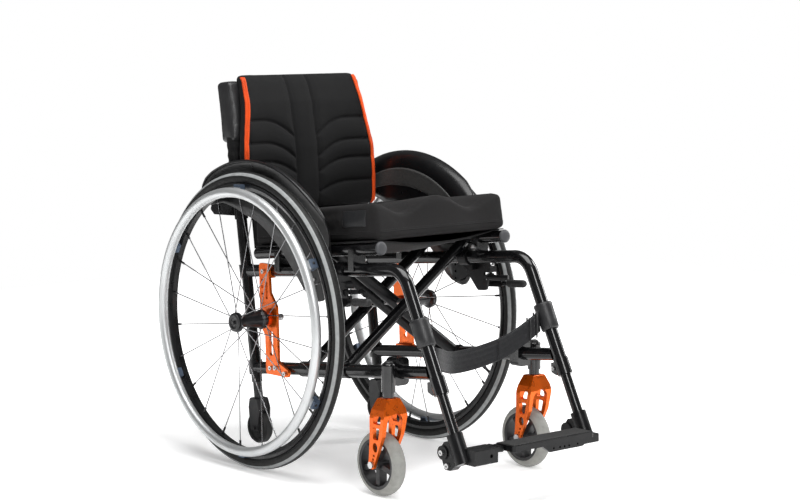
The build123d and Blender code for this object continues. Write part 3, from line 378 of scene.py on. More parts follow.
FRAME_BLACK = paint("frame_black", (0.004, 0.004, 0.0045), 0.16, 0.25, specular=0.4)
SATIN_BLACK = paint("satin_black", (0.0045, 0.0045, 0.005), 0.3, 0.0, 2e-5, specular=0.25)
GUARD_BLACK = paint("guard_black", (0.004, 0.004, 0.0045), 0.3, 0.0, 3e-6, specular=0.4)
RIM_BLACK = paint("rim_black", (0.006, 0.006, 0.0065), 0.28, 0.1, 2e-5, specular=0.4)
HUB_BLACK = anodised("hub_black", (0.02, 0.02, 0.022), 0.32, 0.5, (1, 0.1, 1), 0.3)
ORANGE = anodised("orange_anodised", (0.86, 0.135, 0.002), 0.3, 0.8, (1, 1, 0.06), 0.3)
STEEL = anodised("zinc_steel", (0.6, 0.6, 0.6), 0.28, 1.0, (1, 0.2, 1), 0.0)
PLASTIC = plastic("satin_plastic", (0.014, 0.014, 0.015), 0.42)
GREY_CAP = plastic("cap_plastic", (0.045, 0.046, 0.05), 0.5)
GRIP = rubber("grip_rubber", (0.012, 0.012, 0.012), 0.62)
CASTER_GREY = rubber("caster_rubber", (0.27, 0.27, 0.25), 0.58)
TREAD_PAD = rubber("tread_pad", (0.02, 0.02, 0.02), 0.7)
BACK_CLOTH = cloth("back_cloth", (0.0045, 0.0045, 0.0048), "y", "z", 0.0011, 1.2e-4, sheen=0.03)
SEAT_CLOTH = cloth("seat_cloth", (0.0085, 0.0078, 0.008), "x", "y", 0.0009, 1e-4, sheen=0.06)
SLING_CLOTH = cloth("sling_cloth", (0.005, 0.005, 0.0055), "x", "y", 0.0014, 2e-4, 0.7, 0.03)
PIPING = cloth("piping_orange", (0.80, 0.075, 0.004), "z", "y", 0.0009, 1e-4, 0.6, 0.1, fuzz=0.2)
THREAD = cloth("thread_black", (0.016, 0.016, 0.017), "y", "z", 0.0004, 4e-5, 0.6, 0.1)
LEATHER = leatherette("wing_leatherette")
WEBBING = webbing_material()
SPECKLED = speckled("guard_insert")
PATCH = plastic("label_patch", (0.008, 0.0085, 0.0095), 0.45)

BY_NODE = {
    "side_tube": FRAME_BLACK, "lower_tube": FRAME_BLACK, "back_post": FRAME_BLACK, "seat_rail": FRAME_BLACK,
    "footrest_tube": FRAME_BLACK, "brace_a": FRAME_BLACK, "brace_b": SATIN_BLACK, "caster_housing": FRAME_BLACK,
    "axle_plate": ORANGE, "caster_fork": ORANGE, "release_axle": axle_material(), "release_button": PLASTIC,
    "brace_bolt": STEEL, "side_bolts": STEEL, "caster_axle": STEEL, "side_guard": GUARD_BLACK,
    "brake_clamp": SATIN_BLACK, "brake_lever": SATIN_BLACK, "brake_shoe": SATIN_BLACK,
    "footrest_bracket": SATIN_BLACK, "footplate": SATIN_BLACK, "rear_rim": RIM_BLACK, "rear_hub": HUB_BLACK,
    "rear_spokes": spoke_material(), "handrim": handrim_material(), "rear_tyre": tyre_material(),
    "caster_tyre": CASTER_GREY, "caster_hub": PLASTIC, "anti_tip_arm": PLASTIC, "anti_tip_wheel": GRIP,
}
for name, node in nodes.items():
    base = name.removesuffix("_left").removesuffix("_right")
    if base in BY_NODE:
        node.data.materials.clear()
        node.data.materials.append(BY_NODE[base])

# -------------------- mesh helpers


def add_mesh(name, points, faces, material):
    """A smooth-shaded piece from its points and faces."""
    mesh = bpy.data.meshes.new(name)
    mesh.from_pydata([tuple(p) for p in points], [], faces)
    mesh.update()
    mesh.polygons.foreach_set("use_smooth", [True] * len(mesh.polygons))
    mesh.materials.append(material)
    obj = bpy.data.objects.new(name, mesh)
    bpy.context.scene.collection.objects.link(obj)
    return obj


def ring_faces(rings, count, closed_along=False):
    """Quads between rings of points, each ring closed on itself."""
    faces = []
    for i in range(rings if closed_along else rings - 1):
        a, b = i * count, ((i + 1) % rings) * count
        faces += [(a + j, a + (j + 1) % count, b + (j + 1) % count, b + j) for j in range(count)]
    return faces


def lathe(name, profile, centre, axis, material, segments=48, closed=False):
    """A turned piece: profile is (along the axis, radius) pairs; an open profile is capped at its ends."""
    axis = Vector(axis).normalized()
    side = axis.orthogonal().normalized()
    other = axis.cross(side)
    points = []
    for along, radius in profile:
        for s in range(segments):
            turned = 2 * math.pi * s / segments
            spoke = side * math.cos(turned) + other * math.sin(turned)
            points.append(Vector(centre) + axis * along + spoke * radius)
    faces = ring_faces(len(profile), segments, closed)
    if not closed:
        faces.append(tuple(reversed(range(segments))))
        faces.append(tuple(range((len(profile) - 1) * segments, len(profile) * segments)))
    return add_mesh(name, points, faces, material)


def tube(name, path, radius, material, sides=12, closed=False):
    """A round cord along a path; radius may be a number or one per point."""
    path = [Vector(p) for p in path]
    radii = radius if isinstance(radius, (list, tuple)) else [radius] * len(path)
    points, normal = [], None
    for i, p in enumerate(path):
        ahead = path[(i + 1) % len(path)] if closed or i + 1 < len(path) else p
        behind = path[i - 1] if closed or i else p
        along = (ahead - behind).normalized()
        normal = (along.orthogonal() if normal is None else normal - along * normal.dot(along)).normalized()
        other = along.cross(normal)
        for s in range(sides):
            turned = 2 * math.pi * s / sides
            points.append(p + (normal * math.cos(turned) + other * math.sin(turned)) * radii[i])
    faces = ring_faces(len(path), sides, closed)
    if not closed:
        faces.append(tuple(reversed(range(sides))))
        faces.append(tuple(range((len(path) - 1) * sides, len(path) * sides)))
    return add_mesh(name, points, faces, material)


def grid(name, shape, nu, nv, material, thickness=0.0):
    """A sheet from shape(u, v) with u and v from 0 to 1, given a thickness."""
    points = [shape(i / nu, j / nv) for i in range(nu + 1) for j in range(nv + 1)]
    faces = []
    for i in range(nu):
        for j in range(nv):
            a = i * (nv + 1) + j
            faces.append((a, a + nv + 1, a + nv + 2, a + 1))
    obj = add_mesh(name, points, faces, material)
    if thickness:
        solid = obj.modifiers.new("thickness", "SOLIDIFY")
        solid.thickness, solid.offset = thickness, 0.0
        bake(obj)
    return obj


def block(name, counts, shape, material):
    """A closed form from the six faces of a lattice; shape maps (a, b, c), each from -1 to 1, to a point."""
    index, points, faces = {}, [], []

    def corner(key):
        if key not in index:
            index[key] = len(points)
            points.append(shape(*(2 * k / n - 1 for k, n in zip(key, counts))))
        return index[key]

    for axis in range(3):
        u, v = [k for k in range(3) if k != axis]
        for end in (0, counts[axis]):
            for i in range(counts[u]):
                for j in range(counts[v]):
                    quad = []
                    for di, dj in ((0, 0), (1, 0), (1, 1), (0, 1)):
                        key = [0, 0, 0]
                        key[axis], key[u], key[v] = end, i + di, j + dj
                        quad.append(corner(tuple(key)))
                    faces.append(quad if (end == 0) == (axis == 1) else quad[::-1])
    return add_mesh(name, points, faces, material)


def rounded(p, half, radius):
    """A point of a box with these half sizes, moved onto the same box with rounded edges."""
    inner = [max(-(h - radius), min(h - radius, x)) for x, h in zip(p, half)]
    out = Vector([x - i for x, i in zip(p, inner)])
    return Vector(inner) + (out.normalized() * radius if out.length > 1e-9 else out)


def bake(obj):
    """Apply every modifier of a piece to its mesh."""
    bpy.context.view_layer.update()
    made = bpy.data.meshes.new_from_object(obj.evaluated_get(bpy.context.evaluated_depsgraph_get()))
    obj.modifiers.clear()
    obj.data = made
    made.polygons.foreach_set("use_smooth", [True] * len(made.polygons))
    return obj


def coordinates(mesh):
    """A mesh's vertices, one row each."""
    co = np.empty(len(mesh.vertices) * 3)
    mesh.vertices.foreach_get("co", co)
    return co.reshape(-1, 3)


def place(obj, co):
    """Move a piece's vertices to the rows of an array."""
    obj.data.vertices.foreach_set("co", np.asarray(co, float).ravel())
    obj.data.update()


SWELL_PRESSURE, SWELL_FRAMES = 4.0, 20


def puff(obj, voxel, cap):
    """Swell a closed form as stuffed fabric, and move no point further than the cap."""
    remesh = obj.modifiers.new("remesh", "REMESH")
    remesh.mode, remesh.voxel_size = "VOXEL", voxel
    bake(obj)
    rest = coordinates(obj.data)
    swell = obj.modifiers.new("swell", "CLOTH")
    swell.settings.use_pressure = True
    swell.settings.uniform_pressure_force = SWELL_PRESSURE
    swell.settings.effector_weights.gravity = 0.0
    swell.point_cache.frame_start, swell.point_cache.frame_end = 1, SWELL_FRAMES
    for step in range(1, SWELL_FRAMES + 1):
        bpy.context.scene.frame_set(step)
    dg = bpy.context.evaluated_depsgraph_get()
    moved = coordinates(obj.evaluated_get(dg).data) - rest
    far = np.linalg.norm(moved, axis=1, keepdims=True)
    obj.modifiers.clear()
    place(obj, rest + moved * np.minimum(1.0, cap / np.maximum(far, 1e-9)))
    bpy.context.scene.frame_set(1)
    finer = obj.modifiers.new("finer", "SUBSURF")
    finer.levels = finer.render_levels = 1
    return bake(obj)


def sink(obj, facing, depth):
    """Press grooves into a mesh: depth(points) in metres, against the normals that face a direction."""
    co = coordinates(obj.data)
    normals = np.empty(len(co) * 3)
    obj.data.vertices.foreach_get("normal", normals)
    normals = normals.reshape(-1, 3)
    share = np.clip(normals @ np.array(facing, float) * 2, 0, 1)
    place(obj, co - normals * (share * depth(co))[:, None])


def surface_of(obj):
    """A search tree of a piece's faces, for rays to hit."""
    points = [v.co.copy() for v in obj.data.vertices]
    return BVHTree.FromPolygons(points, [tuple(p.vertices) for p in obj.data.polygons])


def laid_on(tree, path, way, lift=0.0):
    """Points of a path moved along a direction until they meet a surface, then lifted off it."""
    way = Vector(way).normalized()
    found = []
    for p in path:
        hit, _, _, _ = tree.ray_cast(Vector(p) - way * 0.2, way)
        if hit is not None:
            found.append(hit - way * lift)
    return found


def stitches(name, path, length=0.0032, gap=0.0016, radius=0.00042):
    """A row of thread stitches along a path, each one a small lozenge lying on the surface."""
    path = [Vector(p) for p in path]
    points, faces, walked = [], [], 0.0
    for a, b in zip(path, path[1:]):
        step = (b - a).length
        if step < 1e-7:
            continue
        along = (b - a) / step
        side = along.orthogonal().normalized()
        other = along.cross(side)
        while walked < step:
            start, first = a + along * walked, len(points)
            for share, size in ((0.0, 0.2), (0.2, 1.0), (0.8, 1.0), (1.0, 0.2)):
                for s in range(6):
                    turned = math.pi * s / 3
                    spoke = side * math.cos(turned) + other * math.sin(turned)
                    points.append(start + along * (share * length) + spoke * (radius * size))
            faces += [tuple(first + k for k in f) for f in ring_faces(4, 6)]
            faces += [tuple(first + k for k in range(5, -1, -1)), tuple(first + 18 + k for k in range(6))]
            walked += length + gap
        walked -= step
    return add_mesh(name, points, faces, THREAD)


def join(name, parts):
    """Merge several meshes into one piece, each with its own material."""
    points, faces, slots, materials = [], [], [], []
    for obj in parts:
        first = len(points)
        material = obj.data.materials[0]
        if material not in materials:
            materials.append(material)
        points += [obj.matrix_world @ v.co for v in obj.data.vertices]
        for polygon in obj.data.polygons:
            faces.append([first + v for v in polygon.vertices])
            slots.append(materials.index(material))
        bpy.data.objects.remove(obj)
    made = add_mesh(name, points, faces, materials[0])
    for material in materials[1:]:
        made.data.materials.append(material)
    made.data.polygons.foreach_set("material_index", slots)
    return made


# -------------------- cushion

SEAT_REAR, SEAT_FRONT = AX - 0.054, AX + 0.333
SEAT_HALF = 0.1665  # half width
SEAT_BASE, SEAT_THICK = 0.0165, 0.065  # underside above the rails' axes, and thickness
PAD_VOXEL = 0.0045  # mesh size of the cushion and the back pad


def cushion_shape(a, b, c):
    """Contoured cushion, from a lattice point."""
    length, half_z, edge = (SEAT_FRONT - SEAT_REAR) / 2, SEAT_THICK / 2, 0.010
    p = rounded((a * length, b * SEAT_HALF, c * half_z), (length, SEAT_HALF, half_z), edge)
    fore, side = p.x / length, p.y / SEAT_HALF
    top = (p.z + half_z) / SEAT_THICK
    # leg troughs and a pommel at the front, a well for the seat bones behind
    pommel = 0.008 * math.exp(-((side / 0.26) ** 2)) - 0.021 * math.exp(-(((abs(side) - 0.52) / 0.25) ** 2))
    front = max(0.0, min(1.0, (fore + 0.25) / 1.1)) ** 1.5
    well = -0.012 * math.exp(-(((fore + 0.35) / 0.45) ** 2 + (side / 0.62) ** 2))
    raised = 0.006 * abs(side) ** 4 * (0.4 + 0.6 * front)
    lift = top * (pommel * front + well + raised)
    # the four side faces draw in at half height, and the front one leans back
    at_end, at_side = abs(fore) > 0.9, abs(side) > 0.9
    waist = 1 - 0.016 * (1 - (2 * top - 1) ** 2) * (1 - side * side if at_end else 1 - fore * fore)
    lean = 0.013 * top * max(0.0, (fore - 0.5) / 0.5)
    x = SEAT_REAR + length + p.x * (waist if at_end else 1) - lean
    base = rail_z(x - AX) + SEAT_BASE
    return (x, p.y * (waist if at_side else 1), base + top * SEAT_THICK + lift)


cushion = puff(block("seat_cushion", (44, 40, 9), cushion_shape, SEAT_CLOTH), PAD_VOXEL, cap=0.0022)

# -------------------- back pad

BACK_LOW, BACK_TOP = 0.498, 0.773
# (height, front face ahead of the rear axle) and (height, half width)
FRONT_LINE = ((0.496, -0.0725), (0.56, -0.0715), (0.627, -0.0755), (0.667, -0.0825), (0.72, -0.0925), (0.775, -0.1135))
HALF_LINE = ((0.62, 0.172), (0.70, 0.158), (0.775, 0.150))
CENTRE_SEAM = 0.028
ARCHES = ((0.684, 0.037), (0.638, 0.035), (0.600, 0.028), (0.552, 0.022))  # outer height, drop at the centre
SHRINK = 0.004  # the pad draws in at its top by this as it swells


def back_front_x(z):
    """Front of the back pad at a height, beside its hollow."""
    return AX + float(np.interp(z, *zip(*FRONT_LINE)))


def back_half(z):
    return float(np.interp(z, *zip(*HALF_LINE)))


def arch_height(y, outer, drop):
    """Height of an arched seam at y metres from the middle."""
    away = np.clip((np.abs(y) - CENTRE_SEAM) / 0.085, 0, 1)
    return outer - drop * (1 - away) ** 2.2


def back_shape(a, b, c):
    """Curved back pad with round top corners."""
    half_t, half_y, half_z = 0.0125, 0.165, (BACK_TOP + SHRINK - BACK_LOW) / 2
    y, z, corner = b * half_y, c * half_z, 0.018
    dy, dz = abs(y) - (half_y - corner), z - (half_z - corner)
    if dy > 0 and dz > 0:
        pull = max(dy, dz) / math.hypot(dy, dz)
        y, z = math.copysign(half_y - corner + dy * pull, y), half_z - corner + dz * pull
    p = rounded((a * half_t, y, z), (half_t, half_y, half_z), 0.011)
    height = BACK_LOW + half_z + p.z
    across = p.y / half_y
    hollow = 0.015 * (1 - min(1.0, abs(across)) ** 2.2)
    return (back_front_x(height) - hollow - half_t + p.x, p.y * back_half(height) / half_y, height)


def back_grooves(co):
    """Depth of the sunk seams at each point."""
    y, z = np.abs(co[:, 1]), co[:, 2]
    away = np.abs(y - CENTRE_SEAM)
    for outer, drop in ARCHES:
        line = np.abs(z - arch_height(y, outer, drop)) * 0.93
        away = np.minimum(away, np.where(y > CENTRE_SEAM, line, 1.0))
    edge = np.clip((np.interp(z, *zip(*HALF_LINE)) - 0.008 - y) / 0.012, 0, 1)
    return edge * (0.0034 * np.exp(-((away / 0.0026) ** 2)) + 0.0024 * np.exp(-((away / 0.010) ** 2)) - 0.0010)


back_pad = puff(block("back_pad", (5, 60, 50), back_shape, BACK_CLOTH), PAD_VOXEL, cap=0.0025)
sink(back_pad, (1, 0, 0), back_grooves)
back_surface = surface_of(back_pad)

seams = []
for _, side in SIDES:
    rows = [[(0, side * CENTRE_SEAM, z) for z in np.linspace(0.505, 0.768, 60)]]
    for outer, drop in ARCHES:
        ys = np.linspace(CENTRE_SEAM, back_half(outer) - 0.012, 50)
        rows.append([(0, side * y, float(arch_height(y, outer, drop))) for y in ys])
    for row in rows:
        seams.append(stitches("seam", laid_on(back_surface, row, (-1, 0, 0), 0.0001)))
back_seams = join("back_seam_stitches", seams)

# the piping keeps just inside the pad's own edge
pad_co = coordinates(back_pad.data)
pipe_z = np.linspace(0.502, float(pad_co[:, 2].max()) - 0.005, 70)
pad_edge = np.array([np.abs(pad_co[np.abs(pad_co[:, 2] - z) < 0.005][:, 1]).max() for z in pipe_z])
pad_edge = np.convolve(np.pad(pad_edge, 4, mode="edge"), np.ones(9) / 9, mode="valid")
pipes = []
for _, side in SIDES:
    # three cords side by side, the middle one lower; lift is a share of the radius
    for inset, radius, lift in ((0.0087, 0.0024, 0.6), (0.0064, 0.0024, 0.2), (0.0041, 0.0026, 0.6)):
        row = [(0, side * (edge - inset), z) for edge, z in zip(pad_edge, pipe_z)]
        pipes.append(tube("pipe", laid_on(back_surface, row, (-1, 0, 0), radius * lift), radius, PIPING, 10))
back_piping = join("back_piping", pipes)


def flap_shape(u, v):
    """Cloth that hangs behind the cushion."""
    z = 0.426 + 0.146 * v
    y = -0.141 + 0.282 * u
    hollow = 0.012 * (1 - (y / 0.141) ** 2)
    ripple = 0.0012 * math.sin(y * 70) * (1 - v)
    return (post_x(z) + 0.013 - hollow - ripple, y, z)


back_flap = grid("back_flap", flap_shape, 60, 30, BACK_CLOTH, 0.0022)

wings = {}
for side_name, side in SIDES:

    def wing_shape(a, b, c):
        """Padded wing round the top of a back post."""
        half = (0.0225, 0.0185, 0.0615)
        x, z, corner = a * half[0], c * half[2], 0.014
        dx, dz = -x - (half[0] - corner), abs(z) - (half[2] - corner)
        if dx > 0 and dz > 0:
            pull = max(dx, dz) / math.hypot(dx, dz)
            x, z = -(half[0] - corner + dx * pull), math.copysign(half[2] - corner + dz * pull, z)
        p = rounded((x, b * half[1], z), half, 0.009)
        height = 0.701 + p.z + 0.08 * p.x
        return (post_x(height) - 0.0055 + p.x, side * 0.1525 + p.y, height)

    wing = puff(block(f"back_wing_{side_name}", (10, 9, 26), wing_shape, LEATHER), voxel=0.004, cap=0.0035)
    surface = surface_of(wing)
    edge = [(post_x(z) - 0.019, 0, z) for z in np.linspace(0.652, 0.752, 34)]
    seam = stitches("seam", laid_on(surface, edge, (0, -side, 0), 0.0001))
    second = [(post_x(z) + 0.009, 0, z) for z in np.linspace(0.650, 0.754, 34)]
    seam_two = stitches("seam", laid_on(surface, second, (0, -side, 0), 0.0001))
    wing_seams = join(f"back_wing_stitches_{side_name}", [seam, seam_two])

    def sleeve_shape(u, v):
        """Wrinkled cloth tube round a back post, under the wing."""
        z = 0.532 + 0.118 * v
        turned = 2 * math.pi * u
        wrinkle = 0.0009 * math.sin(9 * turned + 3 * math.sin(40 * z)) + 0.0008 * math.sin(z * 330)
        radius = 0.0142 + wrinkle * math.sin(math.pi * v)
        return (post_x(z) + radius * math.cos(turned), side * FRAME_Y + radius * math.sin(turned), z)

    sleeve = grid(f"back_sleeve_{side_name}", sleeve_shape, 64, 40, BACK_CLOTH, 0.0014)
    wings[side_name] = (wing, wing_seams, sleeve)

# -------------------- cushion trim

cushion_surface = surface_of(cushion)


def cushion_edge(height, lift):
    """A path round the cushion's side at a share of its height."""
    path = []
    steps, half_length = 220, 0.1935
    for i in range(steps):
        turned = 2 * math.pi * i / steps
        ray = Vector((math.cos(turned), math.sin(turned), 0))
        middle = Vector(((SEAT_REAR + SEAT_FRONT) / 2, 0, 0))
        reach = 1 / max(abs(ray.x) / half_length, abs(ray.y) / SEAT_HALF)
        x = middle.x + ray.x * reach
        z = rail_z(x - AX) + SEAT_BASE + height * SEAT_THICK
        start = Vector((middle.x, 0, z)) + ray * 0.4
        hit, _, _, _ = cushion_surface.ray_cast(start, -ray)
        if hit is not None:
            path.append(hit - ray * lift)
    return path


lower_welt = tube("welt", cushion_edge(0.2, 0.0006), 0.0013, SEAT_CLOTH, 8, closed=True)
lower_thread = stitches("thread", cushion_edge(0.26, 0.0002))


def patch_shape(u, v):
    """Blank label on the right side of the cushion."""
    half_x, half_z, centre_x, centre_z = 0.034, 0.0155, AX + 0.265, 0.5105
    a, b = 2 * u - 1, 2 * v - 1
    x, z = a * half_x, b * half_z
    z += centre_z + 0.1 * a * half_x
    hit, _, _, _ = cushion_surface.ray_cast(Vector((centre_x + x, -0.4, z)), Vector((0, 1, 0)))
    y = hit.y if hit is not None else -0.168
    return (centre_x + x, y - 0.0006, z)


patch = grid("patch", patch_shape, 24, 12, PATCH, 0.0012)
border = [(0.02, 0.04), (0.98, 0.04), (0.98, 0.96), (0.02, 0.96), (0.02, 0.04)]
patch_row = []
for (u0, v0), (u1, v1) in zip(border, border[1:]):
    for t in np.linspace(0, 1, 24):
        on_patch = Vector(patch_shape(u0 + (u1 - u0) * t, v0 + (v1 - v0) * t))
        patch_row.append(on_patch + Vector((0, -0.0008, 0)))
patch_thread = stitches("thread", patch_row, length=0.0022, gap=0.001, radius=0.0003)
cushion_trim = join("seat_cushion_trim", [lower_welt, lower_thread, patch, patch_thread])

# -------------------- sling under the cushion


def sling_shape(u, v):
    """Cloth stretched over the two seat rails, sagging between them."""
    x, y = -0.045 + 0.365 * u, -0.168 + 0.336 * v
    deep = 0.013 + 0.017 * math.sin(math.pi * min(1.0, 1.15 * (1 - u))) ** 0.8
    droop = deep * max(0.0, 1 - (abs(y) / 0.146) ** 2)
    return (AX + x, y, rail_z(x) + 0.0142 - droop)


sling = grid("seat_sling_cloth", sling_shape, 60, 60, SLING_CLOTH, 0.0022)
hem_rows = []
for u in (0.965, 0.985, 0.015, 0.035):
    path = [Vector(sling_shape(u, v)) + Vector((0, 0, -0.0014)) for v in np.linspace(0.02, 0.98, 150)]
    hem_rows.append(stitches("hem", path))
sling_hem = join("seat_sling_hem", hem_rows)

# -------------------- calf strap

# the strap hangs between the legs, and each end is drawn back behind its leg
STRAP_POINTS = [
    Vector((AX + x, y, z)) for x, y, z in (
        (0.455, -0.151, 0.266), (0.470, -0.141, 0.265), (0.432, -0.070, 0.246), (0.427, 0.005, 0.249),
        (0.433, 0.075, 0.266), (0.4455, 0.138, 0.302), (0.433, 0.149, 0.304),
    )
]


def strap_line(t):
    """Point of the strap's middle line, on a smooth curve through its points."""
    spans = len(STRAP_POINTS) - 1
    k = min(spans - 1, int(t * spans))
    a, b, c, d = (STRAP_POINTS[max(0, min(spans, k + i))] for i in (-1, 0, 1, 2))
    w = t * spans - k
    return (b * 2 + (c - a) * w + (a * 2 - b * 5 + c * 4 - d) * w**2 + (b * 3 - a - c * 3 + d) * w**3) / 2


STRAP_HIGH = 0.042
WEB_AHEAD = Vector((0.0013, 0, 0))  # from the webbing's middle to its front face


def strap_shape(u, v):
    """The strap's band, narrower at its ends and slightly cupped."""
    p = strap_line(u)
    narrow = 1 - 0.12 * math.exp(-((min(u, 1 - u) / 0.10) ** 2))
    height = STRAP_HIGH * narrow * (v - 0.5)
    fold = 0.0008 * math.sin(24 * v) * math.sin(math.pi * u) + 0.002 * (2 * v - 1) ** 2
    return (p.x + fold, p.y, p.z + height)


strap = grid("calf_strap_band", strap_shape, 110, 16, WEBBING, 0.0022)
strap_rows = []
for v in (0.07, 0.93):
    row = [Vector(strap_shape(u, v)) + WEB_AHEAD for u in np.linspace(0.2, 0.8, 120)]
    strap_rows.append(stitches("edge", row))
strap_edge = join("calf_strap_stitches", strap_rows)


def doubled_shape(u, v):
    """Doubled end of the strap, in front of the band and under the buckle."""
    p = Vector(strap_shape(0.60 + 0.20 * u, 0.03 + 0.94 * v))
    return p + Vector((0.0026, -0.0006, 0))


strap_tail = grid("calf_strap_tail", doubled_shape, 30, 12, WEBBING, 0.0018)

# sliding buckle near the left leg: two loops round the strap
bars, ahead = [], Vector((0.0052, 0, 0))
for u in (0.765, 0.805):
    low, high = Vector(strap_shape(u, -0.06)), Vector(strap_shape(u, 1.06))
    loop = [low + ahead, (low + high) / 2 + ahead * 1.15, high + ahead, high - ahead, low - ahead]
    bars.append(tube("bar", loop, 0.0016, PLASTIC, 10, closed=True))
strap_buckle = join("calf_strap_buckle", bars)

# -------------------- small fittings, piece by piece

# side guard: degrees forward of its circle's top, inner edge, outer edge, and how far its top rolls over
GUARD_EDGE = (
    (-43, 0.287, 0.294, 0.1), (-39, 0.274, 0.302, 0.3), (-34, 0.262, 0.3085, 0.7), (-29, 0.253, 0.3115, 0.95),
    (-24, 0.237, 0.3135, 1.0), (-13.7, 0.207, 0.3145, 1.0), (14, 0.166, 0.3145, 1.0), (34, 0.151, 0.3135, 1.0),
    (41, 0.149, 0.3105, 0.8), (46, 0.149, 0.3030, 0.45), (51, 0.150, 0.2880, 0.15), (57, 0.152, 0.2660, 0.0),
    (64, 0.156, 0.2450, 0.0), (70, 0.167, 0.2290, 0.0), (74, 0.184, 0.2160, 0.0), (75.5, 0.195, 0.2060, 0.0),
)
GUARD_ANGLES, *GUARD_VALUES = zip(*GUARD_EDGE)
GUARD_X, GUARD_Z = AX - 0.008, 0.298  # centre of its circle
GUARD_Y = 0.183  # its flat face, from the chair's middle plane
INSERT_Y = 0.1824  # its insert, on the sitter's side of that face
GUARD_THICK = 0.003
ROLL_HIGH, ROLL_WIDE = 0.036, 0.024  # size of the rolled top


def guard_point(turned, radius, out, side):
    """A point of a guard, from its angle forward of the top, radius and distance from the middle plane."""
    return (GUARD_X + radius * math.sin(turned), side * out, GUARD_Z + radius * math.cos(turned))


def guard_section(inner, outer, roll):
    """Closed outline of the shell's section, as (radius, distance from the chair's middle plane)."""
    bend = outer - ROLL_HIGH * roll
    face = [(inner + (bend - inner) * t, GUARD_Y) for t in (0.0, 0.25, 0.5, 0.75)]
    for k in range(13):
        t = math.radians(7.5 * k)
        face.append((bend + ROLL_HIGH * roll * math.sin(t), GUARD_Y + ROLL_WIDE * roll * (1 - math.cos(t))))
    face.append((outer - 0.0012 * roll, GUARD_Y + 0.0275 * roll))
    face.append((outer - 0.0038 * roll, GUARD_Y + 0.029 * roll))
    back = []
    for k, (radius, out) in enumerate(face):
        ahead, behind = face[min(k + 1, len(face) - 1)], face[max(k - 1, 0)]
        dr, dy = ahead[0] - behind[0], ahead[1] - behind[1]
        size = math.hypot(dr, dy) or 1.0
        back.append((radius - GUARD_THICK * dy / size, out + GUARD_THICK * dr / size))
    return face + back[::-1]


